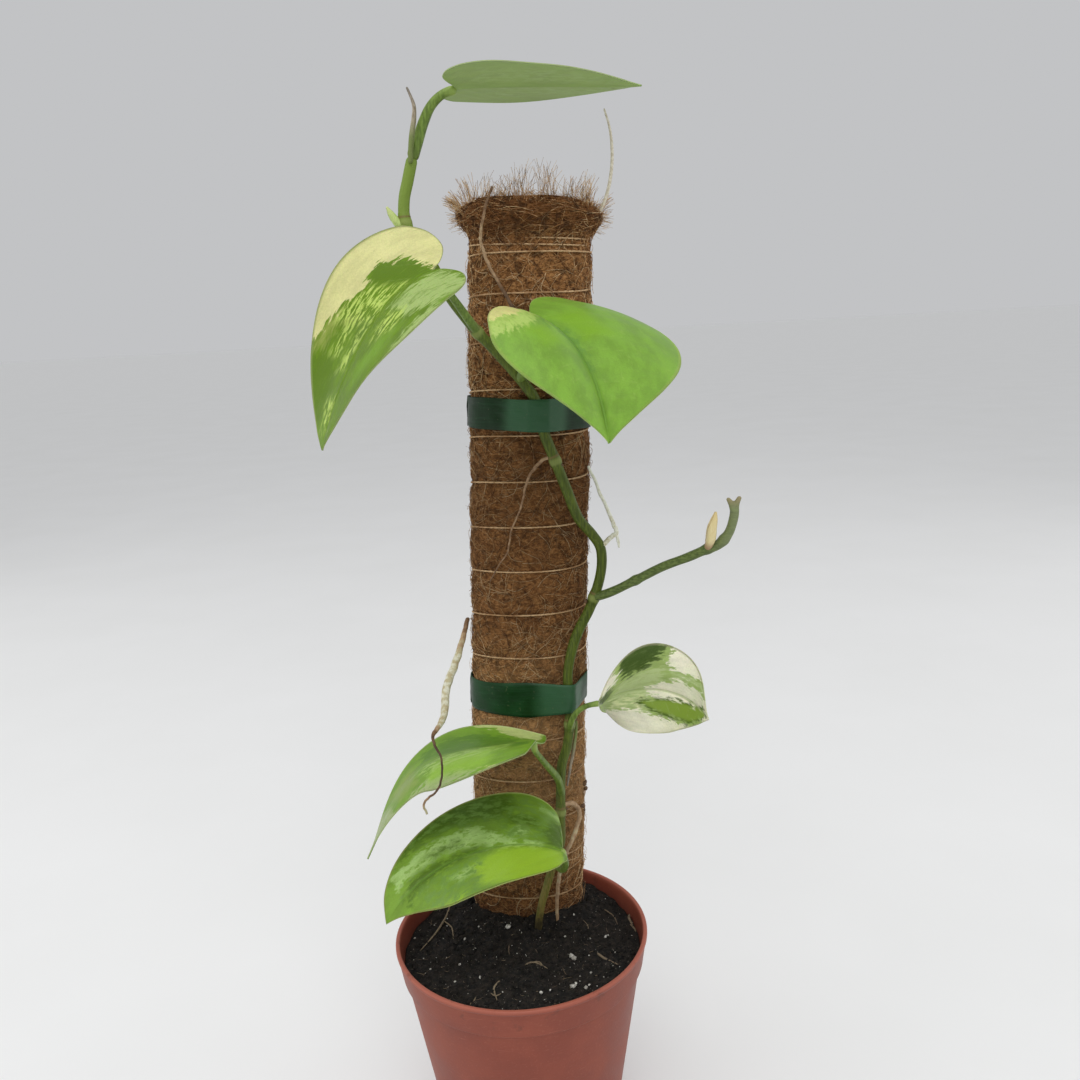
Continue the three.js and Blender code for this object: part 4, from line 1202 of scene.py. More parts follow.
def tape_band(name, low, high, seed, node_name, narrowed):
    """A strip of tape round the pole and the stem between two heights of the pole's frame.

    Its lower edge rises to the right and its upper edge falls to the left by the `narrowed` amounts."""
    outline = tape_outline(low, high)
    far = distances(outline)
    at = np.linspace(0, 1 + TAPE_OVERLAP, TAPE_STEPS)
    x, y = (np.interp(at % 1.0 * far[-1], far, outline[:, k]) for k in (0, 1))
    free = np.hypot(x / (SLEEVE_HALF_WIDTH + TAPE_CLEAR), y / (SLEEVE_HALF_DEPTH + TAPE_CLEAR)) - 1
    out = unit(np.stack([np.gradient(y), -np.gradient(x)], -1))

    rise = np.linspace(0, 1, TAPE_ROWS)
    layer = np.interp(at, [0, 0.98, 1.02, 2], [0, 0, TAPE * 1.6, TAPE * 1.6])[:, None]
    s, h = at[:, None] * TAPE_ROUND, rise[None] * (high - low)
    ripple = 0.16 * lumpy(s, h * 1.5, seed, 2.6) + 0.10 * lumpy(s + h, h, seed + 1, 1.3)
    stand = layer + ripple - 0.2 * np.abs(2 * rise[None] - 1) ** 6
    share = x / SLEEVE_HALF_WIDTH
    lower = low + 0.35 * lumpy(at * TAPE_ROUND, 2, seed + 2, 7.0) + narrowed[0] * np.clip(share, 0, 1)
    upper = high + 0.35 * lumpy(at * TAPE_ROUND, 9, seed + 3, 7.0) - narrowed[1] * np.clip(-share, 0, 1)
    z = lower[:, None] + (upper - lower)[:, None] * rise[None]
    outer, inner = (np.stack([x[:, None] + out[:, :1] * grow, y[:, None] + out[:, 1:] * grow, z], -1)
                    for grow in (stand + TAPE, stand))
    rings = np.concatenate([outer[:, ::-1], inner], axis=1)
    spots, faces = wrap(rings, rings[0].mean(0), rings[-1].mean(0))
    band = piece(name, in_pole(spots), faces, tape_finish, [node_name])
    paint(band, "free", np.r_[np.repeat(np.clip(free / 0.16, 0, 1), 2 * TAPE_ROWS), 0, 0])


tape_band("tape_upper", *UPPER_TAPE, 61, "tape_band_upper", (0, 0.6))
tape_band("tape_lower", *LOWER_TAPE, 66, "tape_band_lower", (4.6, 2.4))

# %% [markdown]
# ## The main stem
#
# A pothos stem is a smooth rod with a knuckle at every leaf, where a ring-shaped scar shows the place of an
# older sheath. The knuckles are part of the tube's section: the radius swells near each of them. Fine
# ridges run along the stem. Its green is darker between the knuckles, lighter in the young top, and fades
# to olive brown and then to earth at the soil.

# %% Stem finish
stem_finish, tree = new_finish("vine_stem", 0.5, Specular_IOR_Level=0.24)
where = place(tree)
height = height_of(tree, where)
streaks = streaked(tree, where, 1400, 1400, 120, 4.0, 0.6)
tint = over(tree, rgb(56, 68, 16), (88, 102, 30), streaks, 0.3, 0.7)
tint = over(tree, tint, (112, 134, 52), height, 0.375, 0.43)
old = total(tree, height, between(tree, streaks, 0.3, 0.7, -0.03, 0.03))
tint = over(tree, tint, (138, 122, 66), old, 0.098, 0.16, 0.8, 0)
earth = total(tree, height, between(tree, speckle(tree, where, 300.0, 4.0), 0.3, 0.7, -0.004, 0.004))
tint = over(tree, tint, (42, 35, 26), earth, 0.101, 0.116, 0.9, 0)
tint = over(tree, tint, (138, 148, 82), painted(tree, "knuckle"), 0.35, 0.95, 0, 0.55)
tint = over(tree, tint, (112, 92, 56), painted(tree, "scar"), 0.3, 0.9, 0, 0.7)
pores = speckle(tree, where, 1900.0, 2.0)
tint = over(tree, tint, (158, 160, 112), pores, 0.68, 0.75, 0, 0.5)
coat(tree, tint, (streaks, 0.00018), (pores, 0.0001))
print("finish", stem_finish.name)

# %% Main stem
SCAR_AWAY = 2.4  # how far past its knuckle a scar ring lies


def near_nodes(line, offset=0.0, width=2.2, places=STEM_NODES):
    """1 at the stem's knuckles, moved along by `offset`, and 0 away from them."""
    far = distances(line)
    value = np.zeros(len(line))
    for place_of_node in places:
        here = far[np.argmin(np.linalg.norm(line - np.array(place_of_node), axis=1))]
        value = np.maximum(value, np.exp(-((far - here - offset) / width) ** 2))
    return value


def stem_section(along, angle, far):
    """Knuckles, scar rings and faint ridges, as a share of the radius."""
    knuckle = near_nodes(stem_line)[:, None]
    scar = near_nodes(stem_line, SCAR_AWAY, 0.45)[:, None] + 0.6 * near_nodes(stem_line, 3.6, 0.4)[:, None]
    ridges = 0.025 * np.cos(5 * angle + 0.02 * far) + 0.02 * np.sin(9 * angle - 0.05 * far)
    uneven = 0.035 * lumpy(far, angle * 2, 71, 5.0)
    return 0.93 + 0.22 * knuckle + 0.07 * scar + ridges + uneven


STEM_SIDES = 26
spots, faces, _ = tube(STEM, STEM_RADII, STEM_GAP, STEM_SIDES, stem_section)
stem = piece("vine_stem", spots, faces, stem_finish, ["main_stem"])
paint(stem, "knuckle", np.r_[np.repeat(near_nodes(stem_line), STEM_SIDES), 0, 0])
paint(stem, "scar", np.r_[np.repeat(near_nodes(stem_line, SCAR_AWAY, 0.7), STEM_SIDES), 0, 0])

# %% [markdown]
# ## The side shoot
#
# A short branch leaves the vine to the right. It ends in a lumpy fork where it was cut. Tubes that meet
# would show a hard crease, so the fork's tubes are joined and remeshed: Blender's voxel Remesh melts them
# into one skin, and a little smoothing rounds the crotch.

# %% Side shoot
def melt(thing, voxel=0.0004, rounds=4):
    """Fuses overlapping tubes into one skin and smooths the joints."""
    fuse = thing.modifiers.new("fuse", "REMESH")
    fuse.mode = "VOXEL"
    fuse.voxel_size = voxel
    settle(thing)
    relax = thing.modifiers.new("relax", "SMOOTH")
    relax.factor = 0.5
    relax.iterations = rounds
    settle(thing)
    thing.data.shade_smooth()


shoot_finish, tree = new_finish("side_shoot", 0.5, Specular_IOR_Level=0.28)
where = place(tree)
streaks = streaked(tree, where, 300, 1000, 1400, 4.0, 0.6)
tint = over(tree, rgb(64, 80, 32), (102, 118, 60), streaks, 0.3, 0.7)
reach = node(tree, "SeparateXYZ", "X", {}, Vector=where)
tint = over(tree, tint, (134, 142, 104), reach, 0.088, 0.104, 0, 0.55)
height = height_of(tree, where)
tint = over(tree, tint, (150, 132, 100), height, 0.307, 0.313, 0, 0.7)
corky = speckle(tree, where, 1300.0, 3.0)
tint = over(tree, tint, (104, 92, 66), corky, 0.6, 0.72, 0, 0.4)
coat(tree, tint, (streaks, 0.00025))

SHOOT = [
    (42.5, 20, 263.7), (50, 14.5, 267.2), (61.3, 9, 273.8), (72.7, 4, 280.5), (83.8, 0, 285.4),
    (91.7, -3, 289.3), (96.6, -5, 291.7), (100.4, -6, 296.2), (102.7, -7, 303.3), (103.2, -8, 309),
]
SHOOT_NODES = [(61.3, 9, 273.8), (91.7, -3, 289.3), (98.5, -5.6, 294)]
SHOOT_GAP = 0.5
shoot_line = evenly(smooth(SHOOT), SHOOT_GAP)


def shoot_section(along, angle, far):
    """Swellings at the shoot's nodes and an uneven skin."""
    return (1 + 0.2 * near_nodes(shoot_line, 0, 1.8, SHOOT_NODES)[:, None] + 0.05 * lumpy(far, angle * 3, 72, 2.5)
            + 0.03 * np.cos(6 * angle))


parts = [
    tube(SHOOT, [2.15, 2, 2, 2.15, 1.95], SHOOT_GAP, 22, shoot_section),
    tube([(103, -8, 305.5), (101.5, -8, 310), (99.8, -8, 312.6)], [1.9, 1.5, 1.25, 0.8], 0.4, 14),
    tube([(103, -8, 305.5), (104, -8, 310), (105.6, -8, 313)], [1.9, 1.5, 1.2, 0.9], 0.4, 14),
    tube([(103, -7.2, 306), (102.6, -7, 309), (102.9, -6.6, 311)], [1.6, 1.2, 0.7], 0.4, 12),
]
spots, faces, _ = together(parts)
shoot = piece("cut_shoot", spots, faces, shoot_finish, ["side_shoot"])
melt(shoot)
print("cut_shoot after melting", len(shoot.data.polygons), "faces")

# %% [markdown]
# ## Buds
#
# A pothos bud is a rolled sheath: a pointed spindle with a seam where one edge laps over the other. The
# seam is a step in the tube's section, and it winds slowly round the bud. The cream bud on the side shoot
# is pinkish brown at its foot; the small one in the leaf axil at the top is pale green.

# %% Bud finishes
def bud_finish(name, body, tip, foot_tone, seam):
    """A waxy bud: lighter or darker along its length, with fine lines and a darker seam."""
    material, tree = new_finish(name, 0.45, Specular_IOR_Level=0.4)
    where = place(tree)
    along = painted(tree, "along")
    lines = streaked(tree, where, 1500, 1500, 90, 3.0)
    tint = blend(tree, between(tree, lines, 0.3, 0.7, 0, 0.6), rgb(*body), rgb(*tip))
    tint = blend(tree, between(tree, along, 0.6, 1), tint, rgb(*tip))
    tint = blend(tree, between(tree, along, 0.08, 0.35, 0.85, 0), tint, rgb(*foot_tone))
    tint = blend(tree, painted(tree, "seam"), tint, rgb(*seam))
    coat(tree, tint, (lines, 0.00015))
    return material


cream_bud = bud_finish("cream_bud", (222, 208, 158), (206, 186, 132), (150, 112, 84), (164, 132, 92))
green_bud = bud_finish("green_bud", (170, 192, 108), (196, 206, 136), (128, 152, 76), (122, 140, 76))
print("finishes", cream_bud.name, green_bud.name)

# %% Bud shapes
BUD_SIDES = 28


def lap_place(angle, along):
    """How far round a bud a point lies from its seam, which winds as it climbs: 0 to 1."""
    return np.mod(angle - 1.1 - 1.3 * along, 2 * np.pi) / (2 * np.pi)


def bud_section(along, angle, far):
    """The lapped edge of a rolled sheath: a step with a small groove at its foot."""
    lap = lap_place(angle, along)
    return 0.95 + 0.16 * lap ** 3 - 0.05 * np.exp(-((lap - 0.02) / 0.03) ** 2)


def bud(name, points, radii, material, node_name):
    """A spindle with the lapped seam of a rolled sheath."""
    spots, faces, along = tube(points, radii, 0.3, BUD_SIDES, bud_section, blunt=(True, False))
    thing = piece(name, spots, faces, material, [node_name])
    ring = np.tile(all_round(BUD_SIDES), (len(spots) - 2) // BUD_SIDES)
    paint(thing, "along", along)
    paint(thing, "seam", np.r_[np.where(lap_place(ring, along[:-2]) < 0.05, 0.6, 0.0), 0, 0])


bud("shoot_bud_sheath",
    [(91.6, -4, 289.5), (92.7, -7.5, 295), (93, -9.5, 300), (93.7, -10.5, 303.5), (94.4, -11, 307.2)],
    [1.5, 1.9, 2.2, 2.2, 2.0, 1.5, 0.5], cream_bud, "shoot_bud")
bud("axil_bud_sheath", [(-31, 9, 430), (-34, 8.2, 434.5), (-35.8, 7.2, 437.5), (-37.1, 6, 440)],
    [1.5, 1.9, 1.8, 1.3, 0.4], green_bud, "axil_bud")

# %% [markdown]
# ## Dry sheaths
#
# Old leaf sheaths stay on the vine as brown papery straps, still green at the foot. They are flat, so the
# tube's section is squashed and its edges curl, with ripples along its length.

# %% Dry sheaths
husk_finish, tree = new_finish("dry_sheath", 0.8)
where = place(tree)
fibre = streaked(tree, where, 1600, 1600, 110, 4.0, 0.65)
tint = over(tree, rgb(112, 98, 78), (172, 160, 138), fibre, 0.3, 0.7)
along = painted(tree, "along")
tint = over(tree, tint, (104, 122, 56), along, 0.25, 0.62, 0.9, 0)
tint = over(tree, tint, (104, 98, 92), along, 0.6, 1, 0, 0.7)
coat(tree, tint, (fibre, 0.0003))


def husk(name, points, radii, node_name, seed):
    """A papery strap with a hollow side."""
    def section(along, angle, far):
        return (0.62 + 0.38 * np.abs(np.cos(angle)) - 0.22 * np.exp(-((angle - np.pi / 2) / 0.6) ** 2)
                + 0.08 * lumpy(far, angle * 2, seed, 1.8))

    spots, faces, along = tube(points, radii, 0.4, 20, section)
    thing = piece(name, spots, faces, husk_finish, [node_name])
    paint(thing, "along", along)


husk("dry_prong", [(-26, 6.5, 456.5), (-25.2, 5.4, 462.5), (-24.2, 5, 468.5), (-23.1, 5.2, 473.4),
                   (-22.8, 6.4, 478.5), (-25.4, 8.4, 486.3)], [1.3, 1.45, 1.3, 1.0, 0.6], "dry_sheath_top", 81)
husk("dry_strap", [(31.6, 19, 206), (31.4, 18.4, 200), (30.2, 18, 192), (27.8, 17.5, 181), (25.6, 16.4, 171)],
     [0.6, 1.0, 1.1, 0.9, 0.5], "dry_sheath_low", 82)

# %% [markdown]
# ## Leaves: the surface
#
# Each leaf is a sheet that bends along its midrib and curls across it. The midrib is a Bezier curve. At
# each place along it, the two halves leave at a fold angle that grows towards the margin. The outline is
# a heart drawn once, for one half, and stretched to each leaf's width and length. These are the same
# rules that shaped the CAD leaves, with ten times as many points, so the leaves land in the same place.
# Where a margin follows a line of its own, `trim` narrows the left half by a share at each place along.

# %% Leaf shapes
LEAVES = {
    "top": dict(
        midrib=[(-5, 8, 486), (22, 12, 487), (50, 12, 484), (70, 6, 482)], faces=[(0, 0.1, 1), (0.1, 0.1, 1)],
        widths=(25, 25), folds=(6, 6), curls=(-10, -10), lobes=(0.6, 0.6), radii=[2.4, 2.2, 2.1, 1.9, 1.6],
        stalk=[(-25.6, 9.3, 458), (-22.5, 9.2, 465.5), (-19.4, 9, 473), (-16, 8.8, 478.8), (-11, 8.4, 482.8),
               (-5, 8, 484.4)]),
    "upper_left": dict(
        midrib=[(-19, -14, 413), (-44.5, -21, 404), (-63, -26, 360), (-64.5, -39, 346)],
        faces=[(0.1, -0.5, 0.9), (-0.6, -0.2, 0.8)], widths=(29.5, 34), folds=(0, -3), curls=(9, 40),
        lobes=(0.8, 0.85), radii=[2, 1.8, 1.6, 1.5],
        stalk=[(-3, 10, 387), (-7, 3, 394), (-11, -4, 401), (-15.5, -9.5, 408), (-19.3, -13.4, 412.3)]),
    "upper_right": dict(
        midrib=[(22.5, -19, 391), (41, -34, 386), (45, -54, 363), (45, -81, 348)],
        faces=[(0.2, -0.3, 0.9), (-0.1, -0.4, 0.9)], widths=(43.5, 37), folds=(25, 41), curls=(-53, -74),
        lobes=(1.3, 0.5), radii=[2, 1.8, 1.6, 1.5],
        stalk=[(14, 13, 365.5), (16, 6, 372), (18.3, -3, 379.5), (20.5, -11, 385), (22.8, -18.8, 390)]),
    "small_right": dict(
        midrib=[(43, 6, 217), (60, 9, 226), (86, 22, 216), (88, -18, 216)],
        faces=[(0.8, -0.6, 0.05), (-0.35, -0.75, 0.55)], widths=(28, 24), folds=(57, -28), curls=(-36, 0.1),
        lobes=(0.25, 0.2), radii=[1.8, 1.5, 1.3, 1.2],
        stalk=[(28.3, 15.6, 200.5), (28.7, 11, 205.4), (31.6, 8.4, 211.7), (36, 6.9, 215.2), (42.9, 6.1, 216.8)]),
    "narrow": dict(
        midrib=[(12, -17, 210), (-33, -10, 204), (-45, 3, 202), (-64, -32, 166)],
        faces=[(-0.1, 0.3, 1), (-0.9, -0.4, 0.3)], widths=(29, 28), folds=(17, -19), curls=(-48, 40),
        lobes=(0.15, 0.1), radii=[1.9, 1.6, 1.4, 1.3],
        stalk=[(22.8, 14, 168), (21.4, 9, 178), (15.5, -3.5, 193), (11.5, -13, 204), (11.4, -16.6, 209)]),
    "bottom": dict(
        midrib=[(21, -27, 162), (-6, -28, 175), (-45, -19, 154), (-56, -43, 141)],
        faces=[(-0.1, 0.1, 1), (-0.1, -0.4, 0.9)], widths=(36, 36), folds=(-6, 8), curls=(22, 3),
        lobes=(0.2, 0.12), radii=[2, 1.8, 1.6, 1.4],
        trim=([-0.2, 0, 0.03, 0.07, 0.13, 0.2, 0.32, 1], [0.28, 0.34, 0.52, 0.68, 0.81, 0.89, 0.94, 1]),
        stalk=[(17.5, 10.3, 135), (20.5, 0, 137), (22.5, -14, 147.5), (21.2, -26.8, 161.7)]),
}
print("leaves:", list(LEAVES))

# %% Leaf margin
HEART = np.array([
    (0, 0), (0.12, -0.075), (0.38, -0.135), (0.68, -0.1), (0.9, 0.03), (1, 0.2),
    (0.95, 0.38), (0.78, 0.57), (0.53, 0.74), (0.26, 0.88), (0.1, 0.95), (0, 1),
])


def heart(u):
    """The margin of half a leaf at shares `u` of its way from joint to tip: across and along."""
    at = u * (len(HEART) - 1)
    i = np.clip(at.astype(int), 0, len(HEART) - 2)
    t = (at - i)[:, None]
    p0, p1, p2, p3 = (HEART[np.clip(i + k, 0, len(HEART) - 1)] for k in (-1, 0, 1, 2))
    v0, v1 = (p2 - p0) / 2, (p3 - p1) / 2
    return ((2 * p1 - 2 * p2 + v0 + v1) * t**3 + (-3 * p1 + 3 * p2 - 2 * v0 - v1) * t**2 + v0 * t + p1).T


print("half way round, the margin is at", heart(np.array([0.5])).ravel().round(2))

# %% Leaf surface
CURVE_STEPS = 600


def leaf_surface(leaf, across, along):
    """Points and upward directions of a leaf. `across` runs from -1 to 1, `along` from the joint to 1."""
    p = np.array(leaf["midrib"], float)
    t = np.linspace(0, 1, CURVE_STEPS)[:, None]
    curve = (1 - t)**3 * p[0] + 3 * (1 - t)**2 * t * p[1] + 3 * (1 - t) * t**2 * p[2] + t**3 * p[3]
    slope = unit(3 * (1 - t)**2 * (p[1] - p[0]) + 6 * (1 - t) * t * (p[2] - p[1]) + 3 * t**2 * (p[3] - p[2]))
    far = distances(curve)
    length = far[-1]
    at = np.clip(along, 0, 1)
    spot, forward_way = (np.stack([np.interp(at * length, far, v[:, k]) for k in range(3)], -1)
                         for v in (curve, slope))
    forward_way = unit(forward_way)
    first, last = unit(np.array(leaf["faces"][0], float)), unit(np.array(leaf["faces"][1], float))
    up = first + (last - first) * at[..., None]
    up = unit(up - forward_way * np.sum(up * forward_way, -1)[..., None])
    right = np.cross(forward_way, up)
    left_half = across < 0
    side = np.where(left_half, -1.0, 1.0)
    width, fold, curl, lobe = (np.where(left_half, *leaf[key]) for key in ("widths", "folds", "curls", "lobes"))
    fold, curl, size = np.radians(fold), np.radians(curl), np.abs(across)
    out = width / curl * (np.sin(fold + curl * size) - np.sin(fold))
    lift = width / curl * (np.cos(fold) - np.cos(fold + curl * size))
    back = np.minimum(along, 0) * lobe * length
    spot = (spot + forward_way * back[..., None] + right * (side * out)[..., None] + up * lift[..., None])
    tilt = (fold + curl * size)[..., None]
    facing = unit(-side[..., None] * right * np.sin(tilt) + up * np.cos(tilt))
    return spot, facing, length


for leaf_name, leaf in LEAVES.items():
    print(leaf_name, "leaf is", round(float(leaf_surface(leaf, np.zeros(1), np.zeros(1))[2])), "mm long")

# %% [markdown]
# ## Leaves: the marbling
#
# No two marbled leaves are alike, so the cream, the pale and the dark areas are drawn leaf by leaf, as
# outlines in hundredths of a leaf: across from -100 to 100, along from the joint at 0 to the tip at 100.
# For each kind of area every point stores how deep inside it lies. The material cuts that depth off with
# a streaky noise, which gives crisp edges far finer than the mesh.

# %% Marbling areas
AREAS = {
    "upper_left": {
        "cream": [[(2, -2), (25, 2), (45, 6), (50, 10), (60, 14), (63, 18), (58, 21), (48, 23.5), (50, 27),
                   (60, 33), (66, 38), (72, 44), (76, 50), (84, 56), (120, 60), (120, -30), (0, -30)]],
        "dark": [[(0, 0), (25, 2), (45, 6), (60, 14), (63, 18), (48, 23.5), (20, 19), (5, 10)],
                 [(40, 55), (80, 60), (60, 78), (30, 88), (20, 72)], [(-30, 30), (-20, 32), (-10, 60), (-30, 50)]],
        "fleck": [[(3, 12), (20, 19), (48, 23.5), (62, 34), (60, 42), (30, 40), (5, 36)],
                  [(5, 38), (16, 40), (20, 62), (8, 60)], [(30, 38), (42, 40), (46, 55), (34, 56)],
                  [(-15, 30), (-40, 20), (-50, 35), (-20, 45)], [(5, 74), (20, 76), (12, 90), (0, 90)]],
        "brown": [[(60, 34), (72, 44), (80, 56), (62, 54), (57, 42)], [(25, 37), (45, 37), (60, 44), (40, 42)]],
        # This leaf's second pale area, along its left margin, is a painted sheen.
        "pale": [[(-12, -5), (-60, -15), (-86, -2), (-80, 12), (-55, 26), (-12, 26)],
                 [(-85, 10), (-110, 10), (-110, 70), (-85, 60)]],
        "bright": [[(-80, -20), (-110, -10), (-110, 12), (-88, 10)], [(-60, 30), (-20, 50), (-30, 70), (-60, 50)]],
    },
    "upper_right": {
        "cream": [[(20, -14), (34, -3), (46, 5), (60, 9), (78, 5), (100, 2), (120, -10), (40, -30)]],
        "pale": [[(8, -10), (20, 2), (33, 10), (44, 19), (58, 21), (80, 22), (95, 19), (120, 20), (120, -20),
                  (20, -30)]],
        "dark": [[(-2, 8), (10, 10), (20, 20), (14, 30), (8, 42), (0, 50), (-4, 30)],
                 [(10, 0), (20, 7), (38, 20), (33, 22), (13, 10)]],
        "bright": [[(-10, 5), (-40, 10), (-35, 30), (-10, 30)], [(30, 20), (60, 24), (50, 38), (25, 36)]],
    },
    "small_right": {
        "cream": [[(-90, 50), (-62, 46), (-50, 50), (-44, 60), (-44, 80), (-60, 95), (-110, 90)],
                  [(-4, 34), (-16, 42), (-26, 55), (-27, 80), (-16, 110), (10, 110), (24, 50), (12, 36)],
                  [(45, 12), (55, 2), (120, -10), (120, 100), (35, 100), (40, 80), (50, 62), (54, 42), (44, 28)],
                  [(-110, 0), (-80, 2), (-60, 10), (-80, 12), (-110, 8)]],
        "dark": [[(-120, 12), (-70, 13), (-50, 20), (-55, 30), (-72, 42), (-120, 44)],
                 [(-95, -10), (-50, -2), (-20, 2), (-40, 7), (-80, 8)], [(90, 0), (120, 0), (120, 30), (94, 25)]],
        "streak": [[(24, 27), (40, 36), (48, 46), (46, 60), (36, 78), (15, 90), (-2, 96), (-6, 87), (4, 70),
                    (12, 54), (20, 40)]],
        "pale": [[(-45, 12), (50, 5), (55, 35), (-10, 42), (-50, 46), (-50, 30)],
                 [(-42, 50), (-28, 50), (-28, 100), (-42, 100)]],
        "fleck": [[(12, 8), (50, 8), (44, 32), (12, 34)]],
    },
    "narrow": {
        "cream": [[(60, 2), (120, 0), (120, 42), (98, 40), (90, 25), (72, 16)],
                  [(-90, -10), (-120, -10), (-120, 30), (-97, 20)]],
        "dark": [[(10, 12), (60, 12), (75, 30), (65, 55), (30, 55), (6, 40)],
                 [(-50, 0), (45, 8), (45, 14), (0, 12), (-50, 7)]],
        "bright": [[(-90, 15), (-30, 15), (-25, 45), (-70, 50)]],
        "brown": [[(-50, 58), (50, 60), (40, 74), (-40, 72)]],
        "pale": [[(-80, 78), (80, 78), (50, 110), (-50, 110)], [(-95, 20), (-70, 30), (-60, 70), (-100, 60)]],
        "fleck": [[(-10, 10), (-50, 10), (-50, 50), (-10, 60)]],
    },
    "bottom": {
        "bright": [[(-4, 0), (-90, -5), (-95, 20), (-70, 40), (-25, 46), (-5, 30)],
                   [(-70, 50), (-110, 50), (-80, 90), (-40, 90)]],
        "pale": [[(-20, 42), (-40, 44), (-42, 54), (-25, 60)], [(-5, 10), (5, 10), (3, 30), (-4, 30)],
                 [(5, 22), (14, 26), (30, 38), (42, 42), (40, 62), (30, 82), (14, 85), (16, 60), (6, 42)],
                 [(68, -5), (80, -3), (82, 14), (70, 12)], [(16, 18), (50, 16), (50, 24), (18, 26)]],
        "dark": [[(50, 30), (75, 22), (105, 30), (105, 50), (75, 78), (42, 86), (50, 55)],
                 [(4, -6), (66, -12), (60, 6), (30, 12), (4, 6)], [(-4, 42), (5, 40), (10, 80), (-12, 86)],
                 [(18, 50), (26, 50), (24, 66), (18, 64)], [(30, 12), (60, 10), (60, 30), (35, 28)]],
        "fleck": [[(50, 30), (90, 30), (90, 70), (50, 70)], [(10, 10), (90, 0), (90, 30), (12, 30)],
                  [(-10, 40), (-90, 40), (-60, 85), (-10, 80)]],
    },
    "top": {
        "fleck": [[(10, 8), (75, 10), (60, 60), (15, 85)], [(-10, 15), (-70, 20), (-60, 70), (-10, 80)]],
        "pale": [[(-100, 55), (-50, 60), (-40, 90), (-100, 90)]],
    },
}
print("marbled areas", {name: sum(map(len, kinds.values())) for name, kinds in AREAS.items()})

# %% Depth inside an area
KINDS = ("pale", "bright", "dark", "brown", "fleck", "streak", "cream")
AREA_DEPTH = 5.0


def depth_inside(x, y, outline):
    """How deep inside an outline points lie, in millimetres. Outside it is negative."""
    nearest, inside = np.full(x.shape, 1e9), np.zeros(x.shape, bool)
    for (ax, ay), (bx, by) in zip(outline, np.roll(outline, -1, axis=0)):
        dx, dy = bx - ax, by - ay
        t = np.clip(((x - ax) * dx + (y - ay) * dy) / (dx * dx + dy * dy + 1e-9), 0, 1)
        nearest = np.minimum(nearest, np.hypot(x - ax - t * dx, y - ay - t * dy))
        crosses = (ay > y) != (by > y)
        inside ^= crosses & (x < ax + (y - ay) * dx / (dy if abs(dy) > 1e-9 else 1e-9))
    return np.where(inside, nearest, -nearest)


def area_values(name, across, along, widths, length):
    """For each kind of area: 0.5 on its edge, 1 deep inside, 0 well outside."""
    def to_mm(a, l):
        return np.asarray(a) * np.where(np.asarray(a) < 0, *widths), np.asarray(l) * length

    x, y = to_mm(across, along)
    values = {}
    for kind in KINDS:
        depth = np.full(x.shape, -99.0)
        for outline in AREAS[name].get(kind, []):
            corners = np.stack(to_mm(*np.array(outline).T / 100), -1)
            depth = np.maximum(depth, depth_inside(x, y, corners))
        values[kind] = np.clip(0.5 + depth / (2 * AREA_DEPTH), 0, 1)
    return values


square = [(-1, -1), (1, -1), (1, 1), (-1, 1)]
print("depth in the middle of a square:", depth_inside(np.zeros(1), np.zeros(1), square))

# %% [markdown]
# ## Leaves: the finish
#
# One recipe makes all six leaf finishes, because the plant has one kind of skin; only the colours differ
# with age and light. `grain` is how fine the marbling is across and along a leaf, `solid` how closed its
# dark areas are, and `blur` how soft their edges. The veins paint themselves: the mesh stores how near
# each point is to one. A leaf is satin on top, paler and duller beneath, and it lets a little light in,
# for which there is a trace of subsurface scattering.

# %% Leaf marbling
def toned(tone, factor):
    """A colour made lighter or darker."""
    return rgb(*(factor * np.array(tone)))


def marbling(tree, fine, broad, tones, solid, blur):
    """The base colour with the painted areas laid over it, from the faint ones to the cream."""
    def area(kind, wobble, soft):
        depth = total(tree, painted(tree, kind), between(tree, fine, 0.25, 0.75, -wobble, wobble))
        return between(tree, depth, 0.5 - soft, 0.5 + soft)

    clouds = between(tree, broad, 0.35, 0.65)
    tint = blend(tree, clouds, toned(tones["base"], 0.94), toned(tones["base"], 1.05))
    tint = blend(tree, between(tree, fine, 0.58, 0.68, 0, 0.14), tint, rgb(*tones["pale"]))
    broken = product(tree, between(tree, fine, 0.36, 0.48, 0.45, 1), between(tree, broad, 0.36, 0.5, 0.65, 1))
    mottled = between(tree, fine, 0.5, 0.66, 0.95, solid)
    flecked = between(tree, fine, 0.51 - blur, 0.51 + blur)
    for kind, wobble, soft, strength in (
        ("pale", 0.34, 0.2, broken), ("bright", 0.12, 0.4, 0.9), ("dark", 0.34, 3.5 * blur, mottled),
        ("brown", 0.25, 0.3, 0.7), ("fleck", 0.1, 0.3, flecked),
    ):
        tint = blend(tree, product(tree, area(kind, wobble, soft), strength), tint, rgb(*tones[kind]))
    veined = between(tree, fine, 0.62, 0.74, 1, 0.62)
    cream = blend(tree, clouds, rgb(*tones["cream"]), toned(tones["cream"], 0.93))
    tint = blend(tree, product(tree, area("cream", 0.26, 0.05), veined), tint, cream)
    streak = blend(tree, between(tree, painted(tree, "streak"), 0.5, 0.68), rgb(74, 98, 26), rgb(132, 158, 58))
    return blend(tree, area("streak", 0.26, 0.14), tint, streak)


print("marbling recipe ready")

